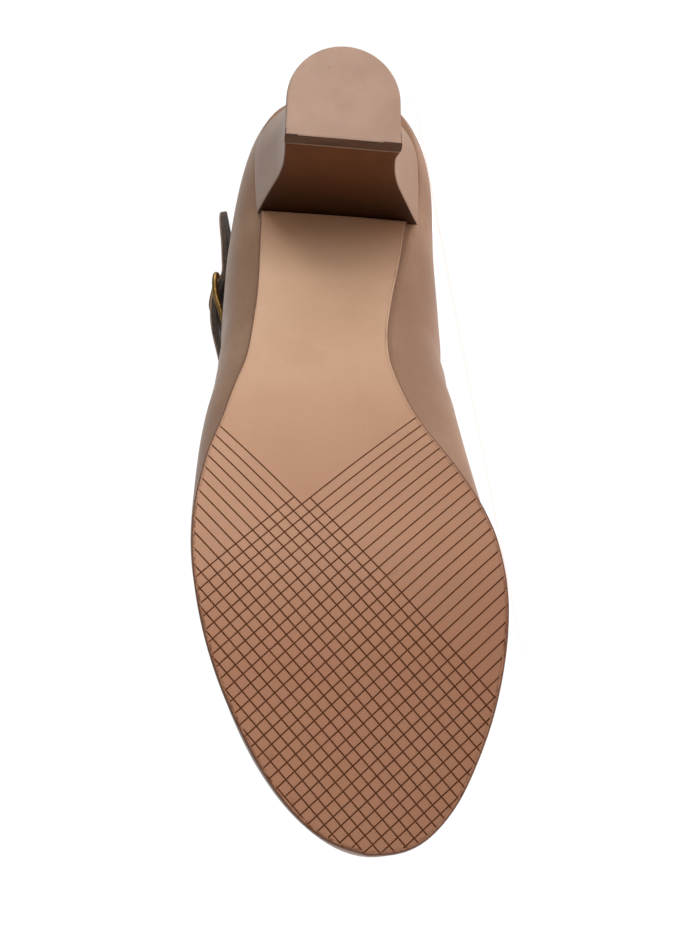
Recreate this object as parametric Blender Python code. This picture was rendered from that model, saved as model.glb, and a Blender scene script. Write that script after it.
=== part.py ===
"""Left character dance shoe with a wrapped curved heel, a leather sole and one buckled strap.

The tables describe the shoe standing: x forward, y towards the outer (lateral) side, z up
from the floor, all in millimetres. lay_on_side then turns the finished solids so that the shoe
lies on its inner (medial) side, as an odd shoe comes to rest, and puts the frame's origin under
the middle of its box. World axes in metres: toe to -X, sole facing -Y, outer side up (+Z).
"""
import math

import bmesh
import bpy
import numpy as np
from mathutils import Matrix, Vector

MM = 0.001
GAP = 0.3            # space left between pieces that touch
SOLE = 3.4           # outsole leather
WALL = 1.8           # upper leather with its lining
MARGIN = 9.0         # lasting allowance turned in under the insole
INSOLE = 2.0
LIFT = 4.9           # top lift
BREAST_X = 50.4      # heel breast at the middle of the shoe
BREAST_SKEW = -0.06  # the breast is not quite square to the shoe
BAR_R = 0.9          # buckle wire
LEAN = 3.7           # degrees short of the heel's edge meeting the floor

# underside of the sole and of the heel seat: x, z
UNDERSIDE = [
    (-12, 60.6), (0, 58.2), (20, 54.0), (45, 47.5), (60, 42.5), (80, 34.0), (100, 24.0),
    (120, 14.5), (140, 6.8), (155, 2.9), (165, 0.9), (173, -0.1), (187, -0.1), (205, 1.3),
    (220, 3.6), (241, 9.0),
]

# outsole edge from the breast to the tip: lateral x, y, medial x, y
SOLE_EDGE = [
    (48.9, 23.0, 51.5, -20.1), (64.4, 23.4, 67.0, -17.7), (79.9, 23.9, 78.5, -15.4),
    (97.4, 25.6, 89.9, -13.4), (106.1, 27.0, 98.8, -12.5), (113.5, 29.3, 105.2, -12.9),
    (127.8, 33.3, 112.9, -14.7), (135.5, 35.8, 123.9, -18.8), (143.7, 37.6, 136.6, -26.4),
    (150.9, 38.8, 148.9, -33.3), (159.5, 39.3, 157.1, -36.7), (169.6, 38.7, 166.2, -38.7),
    (180.7, 36.8, 177.0, -39.7), (193.6, 33.1, 191.7, -38.4), (207.6, 27.1, 205.5, -35.3),
    (216.0, 22.5, 218.5, -30.4), (221.3, 19.0, 225.4, -26.9), (227.1, 14.3, 230.8, -22.9),
    (231.0, 10.2, 234.7, -18.6), (234.3, 5.5, 237.1, -13.3), (237.9, -5.0, 237.9, -5.0),
]

# heel block: share of its height, back x, x where the sides start to turn, half width,
# half width at the breast, middle y
HEEL = [
    (0.00, 21.8, 38.5, 15.5, 15.85, 1.4), (0.10, 21.4, 38.3, 15.3, 15.4, 1.8),
    (0.25, 20.2, 37.8, 15.8, 15.7, 1.65), (0.42, 17.8, 36.6, 17.0, 16.9, 1.45),
    (0.58, 14.8, 34.8, 19.0, 18.8, 1.2), (0.74, 10.8, 32.4, 21.3, 20.8, 0.9),
    (0.88, 6.4, 30.0, 23.4, 22.5, 0.6), (0.96, 3.6, 28.9, 24.5, 23.5, 0.35),
    (1.00, 2.5, 28.5, 24.8, 23.9, 0.2),
]

# upper, one row per line from the feather edge to the topline, round the shoe from the
# middle of the back: feather x, y; bulge out, its height; then two points on the way, each
# as share of the way in, outward offset and height; topline x, y, z
UPPER = [
    (2.6, 0.2, 4.0, 24, 0.40, 3.6, 37.0, 0.70, 2.1, 46.0, 3.0, 0.0, 115.0),
    (6.6, 16.2, 3.4, 23, 0.40, 2.6, 36.0, 0.70, 1.7, 44.5, 8.0, 14.6, 113.0),
    (25.0, 24.4, 4.0, 22, 0.40, 2.8, 34.5, 0.70, 1.6, 42.5, 26.0, 24.7, 106.0),
    (50.0, 23.4, 9.0, 24, 0.40, 6.3, 32.5, 0.70, 3.4, 38.0, 52.0, 28.0, 93.0),
    (78.0, 23.7, 10.0, 24, 0.40, 7.4, 32.0, 0.70, 4.4, 37.5, 78.0, 30.5, 81.0),
    (99.0, 25.7, 8.8, 22, 0.40, 7.1, 32.0, 0.70, 4.6, 38.5, 101.0, 31.0, 71.0),
    (127.0, 32.6, 5.7, 18, 0.30, 4.6, 31.0, 0.70, 4.0, 39.5, 125.0, 27.0, 60.0),
    (143.0, 36.3, 3.0, 15, 0.30, 2.3, 28.0, 0.67, 2.6, 38.8, 134.5, 22.3, 56.0),
    (160.0, 37.8, 1.8, 12, 0.28, 0.9, 25.0, 0.64, 1.5, 37.6, 143.0, 16.6, 53.2),
    (185.0, 33.1, 1.8, 10, 0.20, 0.2, 20.5, 0.55, 0.8, 34.0, 149.5, 10.0, 51.0),
    (211.0, 23.2, 1.4, 9, 0.14, 0.0, 19.0, 0.52, 0.2, 30.5, 152.0, 5.0, 50.3),
    (228.0, 10.8, 1.1, 8, 0.11, 0.0, 18.6, 0.50, 0.0, 28.0, 153.0, 1.5, 50.1),
    (236.4, -5.2, 1.0, 7, 0.10, 0.0, 17.8, 0.50, 0.0, 26.0, 153.2, -1.3, 50.0),
    (231.6, -19.2, 1.3, 8, 0.11, 0.0, 18.4, 0.50, 0.0, 27.6, 153.0, -4.0, 50.1),
    (218.8, -27.6, 1.5, 9, 0.13, 0.0, 19.2, 0.52, 0.2, 30.2, 152.0, -7.6, 50.3),
    (200.0, -34.9, 1.8, 10, 0.16, 0.0, 21.0, 0.55, 0.8, 33.5, 149.5, -12.3, 50.9),
    (177.0, -38.2, 1.7, 11, 0.22, 0.6, 24.5, 0.60, 1.6, 38.5, 143.5, -19.0, 52.8),
    (150.0, -32.6, 4.4, 17, 0.30, 3.0, 32.0, 0.68, 2.6, 42.5, 131.0, -26.0, 57.5),
    (127.0, -20.2, 15.2, 29, 0.50, 8.6, 41.5, 0.78, 5.6, 47.5, 112.0, -30.5, 66.0),
    (99.0, -12.7, 19.4, 29, 0.52, 10.6, 37.0, 0.78, 5.8, 42.0, 94.0, -29.8, 74.0),
    (73.0, -17.1, 14.7, 28, 0.50, 8.2, 35.0, 0.75, 4.2, 39.5, 71.0, -28.4, 83.5),
    (50.0, -22.8, 7.8, 25, 0.42, 5.4, 34.0, 0.71, 2.9, 40.0, 48.0, -26.8, 95.0),
    (22.0, -24.4, 5.0, 22, 0.40, 3.6, 34.5, 0.70, 1.9, 42.5, 24.0, -24.9, 106.5),
    (4.8, -16.5, 4.4, 23, 0.40, 3.2, 36.0, 0.70, 1.8, 44.5, 6.8, -14.4, 113.0),
]

# strap centre line from its root inside the medial quarter to the free tip:
# x, y, z, outward normal x, y, z, width
STRAP = [
    (83.0, -27.4, 67.0, -0.05, -0.98, 0.05, 12.0), (85.0, -26.3, 76.0, -0.02, -0.98, 0.18, 12.0),
    (90.0, -27.2, 85.0, 0.05, -0.95, 0.28, 12.0), (99.0, -24.0, 95.5, 0.25, -0.80, 0.55, 12.0),
    (108.5, -13.5, 103.5, 0.42, -0.42, 0.80, 12.0), (113.0, 0.5, 106.5, 0.48, 0.02, 0.88, 12.0),
    (112.3, 12.5, 105.3, 0.42, 0.38, 0.82, 12.0), (108.0, 21.2, 102.0, 0.36, 0.62, 0.68, 12.0),
    (101.0, 26.6, 98.3, 0.28, 0.80, 0.50, 12.0), (92.5, 29.9, 94.9, 0.20, 0.91, 0.34, 12.0),
    (84.0, 32.1, 92.0, 0.10, 0.97, 0.22, 12.0), (76.5, 34.0, 89.9, 0.03, 0.98, 0.18, 12.0),
    (72.5, 35.1, 88.9, 0.0, 0.99, 0.17, 12.0), (69.3, 35.7, 88.2, 0.0, 0.99, 0.17, 12.0),
    (66.5, 35.95, 87.6, 0.0, 0.99, 0.17, 12.0), (63.5, 35.8, 87.1, 0.0, 0.99, 0.17, 12.0),
    (60.5, 35.0, 86.6, 0.0, 0.99, 0.17, 12.0), (57.8, 34.05, 86.1, 0.0, 0.99, 0.17, 12.0),
    (54.8, 32.8, 85.6, 0.0, 0.99, 0.17, 12.0), (50.0, 32.6, 85.1, 0.0, 0.99, 0.18, 12.0),
    (44.0, 32.95, 84.7, 0.0, 0.99, 0.18, 12.0), (39.0, 33.6, 84.5, 0.0, 0.99, 0.18, 10.6),
    (35.5, 34.1, 84.35, 0.0, 0.99, 0.18, 7.6), (33.0, 34.4, 84.25, 0.0, 0.99, 0.18, 3.8),
    (32.1, 34.5, 84.2, 0.0, 0.99, 0.18, 1.4),
]
STRAP_THICK = 2.2

# buckle: centre, half length along the strap, half width across it, then how far out the
# wire runs along it, from the free side, which lies over the strap, to the bar under it
BUCKLE = (62.4, 34.6, 86.3)
BUCKLE_LEN = 7.6
BUCKLE_WIDE = 8.4
RAIL = [(-7.6, 0.65), (-4.5, 0.72), (0.0, 0.2), (4.0, -1.1), (7.6, -2.0)]
TAB_WIDE = 8.0
TAB_THICK = 0.6
TAB_ROOT = (58.4, 32.35, 86.4)
# prong: along the strap, outward
PRONG = [(4.9, 0.55), (2.0, 3.0), (-0.5, 3.25), (-3.5, 2.75), (-6.0, 2.4), (-7.6, 2.25), (-8.8, 2.0)]
PRONG_R = 0.65


def pchip(rows):
    """Monotone curve through (x, value) rows."""
    x = np.array([r[0] for r in rows], float)
    y = np.array([r[1] for r in rows], float)
    h = np.diff(x)
    d = np.diff(y) / h
    m = np.zeros_like(y)
    for i in range(1, len(x) - 1):
        if d[i - 1] * d[i] > 0:
            w1 = 2 * h[i] + h[i - 1]
            w2 = h[i] + 2 * h[i - 1]
            m[i] = (w1 + w2) / (w1 / d[i - 1] + w2 / d[i])
    m[0], m[-1] = d[0], d[-1]

    def value(t):
        t = np.asarray(t, float)
        k = np.clip(np.searchsorted(x, t) - 1, 0, len(h) - 1)
        u = (t - x[k]) / h[k]
        inside = (1 + 2 * u) * (1 - u) ** 2 * y[k] + u * (1 - u) ** 2 * h[k] * m[k]
        inside = inside + u * u * (3 - 2 * u) * y[k + 1] + u * u * (u - 1) * h[k] * m[k + 1]
        low = y[0] + m[0] * (t - x[0])
        high = y[-1] + m[-1] * (t - x[-1])
        return np.where(t < x[0], low, np.where(t > x[-1], high, inside))
    return value


def spline(points, closed=False, keys=None):
    """Cubic through rows of numbers, over their chord length or over keys; takes 0 to 1."""
    p = np.array(points, float)
    if closed:
        p = np.vstack([p, p[:1]])
    if keys is None:
        keys = np.concatenate([[0], np.cumsum(np.linalg.norm(np.diff(p, axis=0), axis=1))])
    t = np.asarray(keys, float)
    t = (t - t[0]) / (t[-1] - t[0])
    n = len(p)
    h = np.diff(t)
    a = np.zeros((n, n))
    b = np.zeros((n, p.shape[1]))
    for i in range(1, n - 1):
        a[i, i - 1:i + 2] = h[i - 1], 2 * (h[i - 1] + h[i]), h[i]
        b[i] = 6 * ((p[i + 1] - p[i]) / h[i] - (p[i] - p[i - 1]) / h[i - 1])
    if closed:
        a[0, 0], a[0, 1], a[0, n - 2] = 2 * (h[0] + h[-1]), h[0], h[-1]
        b[0] = 6 * ((p[1] - p[0]) / h[0] - (p[0] - p[n - 2]) / h[-1])
        a[n - 1, n - 1], a[n - 1, 0] = 1, -1
    else:
        a[0, 0] = a[n - 1, n - 1] = 1
    s = np.linalg.solve(a, b)

    def value(u):
        u = np.atleast_1d(np.asarray(u, float))
        k = np.clip(np.searchsorted(t, u) - 1, 0, n - 2)
        w = ((u - t[k]) / h[k])[:, None]
        hh = (h[k] ** 2)[:, None] / 6
        line = (1 - w) * p[k] + w * p[k + 1]
        return line + hh * (((1 - w) ** 3 - (1 - w)) * s[k] + (w ** 3 - w) * s[k + 1])
    return value, t


under_curve = pchip(UNDERSIDE)


def underside(x):
    """Underside of the outsole; the tread under the ball is flat on the floor."""
    return np.maximum(under_curve(x), 0.0)


def feather_z(x):
    """Level where the upper rests on the sole and on the heel."""
    return under_curve(x).clip(0.0) + SOLE + GAP


def outward(loop):
    """Unit normals in plan, pointing out of a loop that runs from the back over y+."""
    d = np.roll(loop, -1, axis=0) - np.roll(loop, 1, axis=0)
    n = np.stack([-d[:, 1], d[:, 0]], 1)
    return n / np.linalg.norm(n, axis=1, keepdims=True)


def mesh_object(name, points, faces, material, merge=0.00002):
    """One closed solid from millimetre points."""
    mesh = bpy.data.meshes.new(name)
    bm = bmesh.new()
    verts = [bm.verts.new(Vector(p) * MM) for p in np.asarray(points, float).tolist()]
    for f in faces:
        bm.faces.new([verts[i] for i in f])
    bmesh.ops.remove_doubles(bm, verts=bm.verts, dist=merge)
    bmesh.ops.recalc_face_normals(bm, faces=bm.faces)
    if bm.calc_volume(signed=True) < 0:
        bmesh.ops.reverse_faces(bm, faces=bm.faces)
    bm.to_mesh(mesh)
    bm.free()
    ob = bpy.data.objects.new(name, mesh)
    ob.data.materials.append(material)
    shoe.objects.link(ob)
    return ob


def plate(name, low, high, material):
    """Solid between two grids with the same rows and columns."""
    n, m = low.shape[:2]
    points = np.vstack([low.reshape(-1, 3), high.reshape(-1, 3)])

    def at(i, j, top):
        return top * n * m + i * m + j
    faces = []
    for i in range(n - 1):
        for j in range(m - 1):
            for top in (0, 1):
                faces.append([at(i, j, top), at(i + 1, j, top), at(i + 1, j + 1, top), at(i, j + 1, top)])
        for j in (0, m - 1):
            faces.append([at(i, j, 0), at(i + 1, j, 0), at(i + 1, j, 1), at(i, j, 1)])
    for i in (0, n - 1):
        for j in range(m - 1):
            faces.append([at(i, j, 0), at(i, j + 1, 0), at(i, j + 1, 1), at(i, j, 1)])
    if np.allclose(low[-1], low[-1, 0]):
        faces = faces[:-(m - 1)]
        faces = [f for f in faces]
    return grid_object(name, points, faces, material)


def grid_object(name, points, faces, material):
    """mesh_object for grids whose last row may close to a point."""
    points = np.asarray(points, float)
    key = {}
    index = []
    for p in np.round(points, 3).tolist():
        index.append(key.setdefault(tuple(p), len(key)))
    kept = np.zeros((len(key), 3))
    for i, p in zip(index, points):
        kept[i] = p
    clean = []
    seen = set()
    for f in faces:
        loop = []
        for i in f:
            if not loop or index[i] != loop[-1]:
                loop.append(index[i])
        if loop[0] == loop[-1]:
            loop = loop[:-1]
        tag = tuple(sorted(loop))
        if len(set(loop)) > 2 and tag not in seen:
            seen.add(tag)
            clean.append(loop)
    return mesh_object(name, kept, clean, material, merge=0.000005)


def loft(name, rings, material):
    """Solid through closed sections of the same number of points."""
    rings = [np.asarray(r, float) for r in rings]
    m = len(rings[0])
    points = np.vstack(rings)
    faces = []
    for i in range(len(rings) - 1):
        for j in range(m):
            k = (j + 1) % m
            faces.append([i * m + j, i * m + k, (i + 1) * m + k, (i + 1) * m + j])
    faces.append(list(range(m)))
    faces.append([(len(rings) - 1) * m + j for j in range(m)][::-1])
    return mesh_object(name, points, faces, material)


def shell(name, rows, material):
    """Closed ring of sections: rows run round the shoe, each row once round its own wall."""
    n, m = rows.shape[:2]
    faces = []
    for i in range(n):
        for j in range(m):
            a, b = i * m + j, i * m + (j + 1) % m
            c, d = ((i + 1) % n) * m + (j + 1) % m, ((i + 1) % n) * m + j
            faces.append([a, b, c, d])
    return mesh_object(name, rows.reshape(-1, 3), faces, material)


def make_outsole(material):
    edge = np.array(SOLE_EDGE)
    lat, _ = spline(edge[:, :2])
    med, _ = spline(edge[:, 2:])
    u = 1 - (1 - np.linspace(0, 1, 44)) ** 1.25
    a, b = lat(u), med(u)
    shift = BREAST_SKEW * a[0, 1] + BREAST_X + GAP
    a[0, 0], b[0, 0] = shift, BREAST_SKEW * b[0, 1] + BREAST_X + GAP
    a[-1] = b[-1] = edge[-1, :2]
    w = 0.5 - 0.5 * np.cos(np.linspace(0, math.pi, 11))
    xy = a[:, None] * (1 - w)[None, :, None] + b[:, None] * w[None, :, None]
    z = underside(xy[..., 0])
    low = np.dstack([xy, z])
    high = np.dstack([xy, z + SOLE])
    return plate("outsole", low, high, material)


def heel_ring(v, count=26):
    """Plan of the heel at one share of its height."""
    t = np.array(HEEL)
    back, turn, half, front, mid = [pchip(list(zip(t[:, 0], t[:, k])))(v) for k in range(1, 6)]
    a = np.linspace(0, math.pi, count)
    arc = np.stack([turn - (turn - back) * np.sin(a), mid + half * np.cos(a)], 1)
    steps = np.linspace(0, 1, 5)[:-1]
    sides = []
    for sign in (1, -1):
        y_end = mid + sign * front
        x_end = BREAST_X + BREAST_SKEW * y_end
        y = y_end + (mid + sign * half - y_end) * (1 - (1 - steps) ** 2)
        sides.append(np.stack([x_end + (turn - x_end) * steps, y], 1))
    across = np.linspace(0, 1, 8)[1:-1, None]
    breast = sides[1][0] * (1 - across) + sides[0][0] * across
    return np.vstack([sides[0], arc, sides[1][::-1], breast])


def make_heel(material):
    rings = []
    base = LIFT + GAP
    for v in np.linspace(0, 1, 15):
        plan = heel_ring(v)
        top = feather_z(plan[:, 0]) - GAP
        z = base + (top - base) * v
        rings.append(np.column_stack([plan, z]))
    m = len(rings[0])
    points = np.vstack(rings)
    faces = []
    for i in range(len(rings) - 1):
        for j in range(m):
            k = (j + 1) % m
            faces.append([i * m + j, i * m + k, (i + 1) * m + k, (i + 1) * m + j])
    faces.append(list(range(m)))
    # the seat follows the curve of the sole: strips across, from the back to the breast
    last = (len(rings) - 1) * m
    arc_mid = 4 + 13
    left = [last + j for j in range(arc_mid - 1, -1, -1)]
    right = [last + j for j in range(arc_mid, 34)]
    for k in range(len(left) - 1):
        faces.append([left[k], left[k + 1], right[k + 1], right[k]])
    faces.append([left[-1]] + [last + j for j in range(m - 1, 33, -1)] + [right[-1]])
    return grid_object("heel", points, faces, material)


def make_lift(material):
    plan = heel_ring(0.0)
    low = np.column_stack([plan, np.zeros(len(plan))])
    middle = np.array([36.0, 1.0, 0.0])
    chamfer = 0.5
    rings = []
    for z, inset in ((0, chamfer), (chamfer, 0), (LIFT, 0)):
        p = low.copy()
        d = middle - p
        d = d / np.linalg.norm(d, axis=1, keepdims=True)
        p = p + d * inset
        p[:, 2] = z
        rings.append(p)
    return loft("top_lift", rings, material)


def upper_lines(count=86, rise=14):
    """Outer face of the upper as rows of points from the feather edge to the topline."""
    t = np.array(UPPER)
    plan = t[:, [0, 1]]
    keys = np.concatenate([[0], np.cumsum(np.linalg.norm(
        np.diff(np.vstack([plan, plan[:1]]), axis=0), axis=1))])
    value, stations = spline(t, closed=True, keys=keys)
    dense = np.linspace(0, 1, 1200, endpoint=False)
    rows = value(dense)
    weight = np.linalg.norm(np.roll(rows[:, :2], -1, axis=0) - rows[:, :2], axis=1)
    s = np.interp(np.arange(count) / count, np.concatenate([[0], np.cumsum(weight)]) / weight.sum(),
                  np.concatenate([dense, [1.0]]))
    r = value(s)
    n = outward(r[:, :2])
    b = np.column_stack([r[:, :2], feather_z(r[:, 0])])
    top = r[:, 10:13]
    d = (top - b) * [1, 1, 0]
    n3 = np.column_stack([n, np.zeros(count)])

    def point(share, out, height):
        return b + d * share[:, None] + n3 * out[:, None] + np.array([0, 0, 1]) * height[:, None]
    zero = np.zeros(count)
    low = point(zero, r[:, 2] * 0.70, r[:, 3] * 0.36)
    bulge = point(zero, r[:, 2], r[:, 3])
    shoulder = point(r[:, 4], r[:, 5], r[:, 6])
    mid = point(r[:, 7], r[:, 8], r[:, 9])
    lines = np.zeros((count, rise, 3))
    u = np.linspace(0, 1, rise)
    for i in range(count):
        control = np.array([b[i], low[i], bulge[i], shoulder[i], mid[i], top[i]])
        curve, _ = spline(control)
        lines[i] = curve(u)
    return lines, b, n3


def normals(grid):
    """Normals of a grid that is closed along its first axis."""
    a = np.roll(grid, -1, axis=0) - np.roll(grid, 1, axis=0)
    b = np.gradient(grid, axis=1)
    n = np.cross(a, b)
    return n / np.linalg.norm(n, axis=2, keepdims=True)


def make_upper(material):
    outer, feather, n3 = upper_lines()
    n = normals(outer)
    middle = outer.mean(axis=(0, 1))
    if ((outer - middle) * n).sum() < 0:
        n = -n
    inner = outer - n * WALL
    up = np.array([0, 0, 1.0])
    # the feather edge turns in: a mitred corner, then the lasting allowance
    inner[:, 0] = feather - n3 * WALL + up * WALL
    edge = feather - n3 * MARGIN
    edge[:, 2] = feather_z(edge[:, 0])
    half = feather - n3 * MARGIN * 0.5
    half[:, 2] = feather_z(half[:, 0])
    rows = np.concatenate([
        edge[:, None], half[:, None], outer, inner[:, ::-1],
        (half + up * WALL)[:, None], (edge + up * WALL)[:, None]], axis=1)
    return shell("upper", rows, material), outer, inner


def make_insole(material):
    _, feather, n3 = upper_lines()
    loop = (feather - n3 * (WALL + 1.4))[:, :2]
    count = len(loop)
    closed, _ = spline(loop, closed=True)
    tip = int(np.argmax(loop[:, 0])) / count
    u = np.linspace(0, 1, 47)
    a = closed(u * tip)
    b = closed(1 - u * (1 - tip))
    b[0] = a[0]
    b[-1] = a[-1]
    w = np.linspace(0, 1, 8)
    xy = a[:, None] * (1 - w)[None, :, None] + b[:, None] * w[None, :, None]
    z = feather_z(xy[..., 0]) + WALL + GAP
    low = np.dstack([xy, z])
    high = np.dstack([xy, z + INSOLE])
    n, m = low.shape[:2]
    points = np.vstack([low.reshape(-1, 3), high.reshape(-1, 3)])
    faces = []
    for i in range(n - 1):
        for j in range(m - 1):
            for top in (0, n * m):
                faces.append([top + i * m + j, top + (i + 1) * m + j,
                              top + (i + 1) * m + j + 1, top + i * m + j + 1])
        for j in (0, m - 1):
            faces.append([i * m + j, (i + 1) * m + j, n * m + (i + 1) * m + j, n * m + i * m + j])
    return grid_object("insole", points, faces, material)


def strip(path, thick, samples, name, material, crown=0.0):
    """Flat strip along rows of centre, outward normal and width."""
    rows = np.array(path)
    keys = np.concatenate([[0], np.cumsum(np.linalg.norm(np.diff(rows[:, :3], axis=0), axis=1))])
    value, _ = spline(rows, keys=keys)
    r = value(samples)
    p = r[:, :3]
    t = np.gradient(p, axis=0)
    t = t / np.linalg.norm(t, axis=1, keepdims=True)
    n = r[:, 3:6]
    n = n - t * (n * t).sum(1, keepdims=True)
    n = n / np.linalg.norm(n, axis=1, keepdims=True)
    c = np.cross(t, n)
    rings = []
    for i in range(len(p)):
        half, h = r[i, 6] / 2, thick / 2
        bevel = min(0.5, half * 0.4, h * 0.6)
        ring = [(-half, -h + bevel), (-half + bevel, -h), (half - bevel, -h), (half, -h + bevel),
                (half, h - bevel), (half - bevel, h), (-half + bevel, h), (-half, h - bevel)]
        rings.append([p[i] + c[i] * a + n[i] * b for a, b in ring])
    return loft(name, rings, material), (p, t, n, c)


def make_strap(material):
    samples = np.concatenate([np.linspace(0, 0.93, 46), np.linspace(0.945, 1, 6)])
    return strip(STRAP, STRAP_THICK, samples, "strap", material)


def tube(name, points, radius, cyclic, material):
    """Round wire along millimetre points."""
    data = bpy.data.curves.new(name, "CURVE")
    data.dimensions = "3D"
    data.bevel_depth = radius * MM
    data.bevel_resolution = 2
    data.use_fill_caps = True
    line = data.splines.new("POLY")
    line.points.add(len(points) - 1)
    for q, p in zip(line.points, points):
        q.co = (p[0] * MM, p[1] * MM, p[2] * MM, 1)
    line.use_cyclic_u = cyclic
    ob = bpy.data.objects.new(name, data)
    data.materials.append(material)
    shoe.objects.link(ob)
    return ob


def buckle_axes():
    """Buckle's own axes: along the strap towards its root, outward, across."""
    along = np.array([1.0, 0.0, 0.14])
    along = along / np.linalg.norm(along)
    out = np.array([0.0, 1.0, 0.15])
    out = out - along * out.dot(along)
    out = out / np.linalg.norm(out)
    return along, out, np.cross(along, out)


def make_buckle(material):
    """Wire frame: the far side lies over the strap, the bar under it."""
    centre = np.array(BUCKLE)
    along, out, across = buckle_axes()
    corner = 2.6
    points = []
    for sa, sc in ((1, 1), (-1, 1), (-1, -1), (1, -1)):
        for k in range(5):
            ang = {(1, 1): 0, (-1, 1): 90, (-1, -1): 180, (1, -1): 270}[(sa, sc)] + k * 22.5
            ca, cc = math.cos(math.radians(ang)), math.sin(math.radians(ang))
            a = sa * (BUCKLE_LEN - corner) + corner * ca
            c = sc * (BUCKLE_WIDE - corner) + corner * cc
            points.append((a, c))
    rail = []
    for a, c in points:
        rail.append(centre + along * a + across * c + out * float(pchip(RAIL)(a)))
    return tube("buckle_frame", rail, BAR_R, True, material)


def make_prong(material):
    centre = np.array(BUCKLE)
    along, out, across = buckle_axes()
    points = [centre + along * a + out * b for a, b in PRONG]
    return tube("buckle_prong", points, PRONG_R, False, material)


def cut_hole(strap):
    """Hole in the strap where the prong comes up through it."""
    centre = np.array(BUCKLE)
    along, out, across = buckle_axes()
    a, b = [Vector(centre + along * p[0] + out * p[1]) for p in PRONG[:2]]
    turn = (b - a).to_track_quat("Z", "Y").to_matrix().to_4x4()
    bpy.ops.mesh.primitive_cylinder_add(vertices=16, radius=1.2 * MM, depth=16 * MM)
    cutter = bpy.context.active_object
    cutter.name = "prong_hole"
    cutter.data.transform(Matrix.Translation((a + b) / 2 * MM) @ turn)
    cutter.hide_render = True
    cutter.display_type = "WIRE"
    for holder in list(cutter.users_collection):
        holder.objects.unlink(cutter)
    cutters.objects.link(cutter)
    cut = strap.modifiers.new("prong_hole", "BOOLEAN")
    cut.operation = "DIFFERENCE"
    cut.solver = "EXACT"
    cut.object = cutter
    return cutter


def make_tab(material):
    """Leather loop that holds the bar, stitched to the outside of the quarter."""
    centre = np.array(BUCKLE)
    along, out, across = buckle_axes()
    bar = centre + along * BUCKLE_LEN + out * RAIL[-1][1]
    radius = BAR_R + 0.2 + TAB_THICK / 2
    root = np.array(TAB_ROOT)
    away = (root - bar) / np.linalg.norm(root - bar)
    # the loop is square to the bar; behind it the two layers turn down to the root
    square = away - across * away.dot(across)
    square = square / np.linalg.norm(square)
    side = np.cross(across, square)
    side = side * (1 if side.dot(out) > 0 else -1)
    reach = np.linalg.norm(root - bar)
    half = TAB_THICK / 2 + 0.06
    tail = [(reach, away, half), (reach * 0.7, away, half), (reach * 0.42, away, half + 0.1), (3.0, square, 1.25)]
    rows = []
    for a, d, b in tail:
        rows.append((bar + d * a + side * b, side))
    for deg in (90, 60, 30, 0, -30, -60, -90):
        d = -square * math.cos(math.radians(deg)) + side * math.sin(math.radians(deg))
        rows.append((bar + d * radius, d))
    for a, d, b in tail[::-1]:
        rows.append((bar + d * a - side * b, -side))
    path = [list(p) + list(n) + [TAB_WIDE] for p, n in rows]
    return strip(path, TAB_THICK, np.linspace(0, 1, 34), "buckle_tab", material)[0]


def paint(name, colour, rough, metal=0.0):
    mat = bpy.data.materials.new(name)
    mat.use_nodes = True
    shader = mat.node_tree.nodes["Principled BSDF"]
    shader.inputs["Base Color"].default_value = colour + (1,)
    shader.inputs["Roughness"].default_value = rough
    shader.inputs["Metallic"].default_value = metal
    return mat


def solid_points(ob):
    """Vertices, triangles, volume and centroid of an evaluated object."""
    graph = bpy.context.evaluated_depsgraph_get()
    mesh = ob.evaluated_get(graph).to_mesh()
    mesh.calc_loop_triangles()
    v = np.array([p.co[:] for p in mesh.vertices])
    f = np.array([t.vertices[:] for t in mesh.loop_triangles])
    ob.evaluated_get(graph).to_mesh_clear()
    a, b, c = v[f[:, 0]], v[f[:, 1]], v[f[:, 2]]
    vol = (a * np.cross(b, c)).sum(1) / 6
    return v, vol.sum(), ((a + b + c) / 4 * vol[:, None]).sum(0) / vol.sum()


def lay_on_side(objects, density, others):
    """Turn the standing shoe on to the face of its hull that carries it on the medial side."""
    points, mass, moment = [], 0.0, np.zeros(3)
    for ob in objects:
        v, volume, centre = solid_points(ob)
        points.append(v)
        m = abs(volume) * density[ob.name]
        mass += m
        moment += m * centre
    points = np.vstack(points)
    com = moment / mass
    bm = bmesh.new()
    for p in points.tolist():
        bm.verts.new(p)
    hull = bmesh.ops.convex_hull(bm, input=bm.verts)
    best = None
    for face in [g for g in hull["geom"] if isinstance(g, bmesh.types.BMFace)]:
        n = np.array(face.normal[:])
        p = np.array(face.verts[0].co[:])
        if (p - com).dot(n) < 0:
            n = -n
        if -n[1] < 0.7:
            continue
        foot = com + n * (p - com).dot(n)
        corners = [np.array(q.co[:]) for q in face.verts]
        turns = [np.cross(corners[(k + 1) % 3] - corners[k], foot - corners[k]).dot(n) for k in range(3)]
        inside = min(turns) >= 0 or max(turns) <= 0
        area = face.calc_area()
        if inside and (best is None or area > best[0]):
            best = (area, n, corners)
    bm.free()
    down = best[1]
    # lean back about the line through the ball and the counter, which stay on the floor
    low_corners = sorted(best[2], key=lambda c: c[1])[:2]
    axis = Vector(low_corners[1] - low_corners[0]).normalized()
    choices = [np.array(Matrix.Rotation(s * math.radians(LEAN), 3, axis) @ Vector(down)) for s in (1, -1)]
    down = min(choices, key=lambda d: abs(d[2]))
    up = -down
    back = np.array([1.0, 0, 0]) - up * up[0]
    x_axis = -back / np.linalg.norm(back)
    y_axis = np.cross(up, x_axis)
    turn = Matrix([list(x_axis) + [0], list(y_axis) + [0], list(up) + [0], [0, 0, 0, 1]])
    placed = points @ np.array([x_axis, y_axis, up]).T
    low, high = placed.min(0), placed.max(0)
    shift = Matrix.Translation(Vector((-(low[0] + high[0]) / 2, -(low[1] + high[1]) / 2, -low[2])))
    for ob in objects + others:
        ob.data.transform(shift @ turn)
    bpy.context.view_layer.update()
    return shift @ turn, mass, com, best[2]


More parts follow.
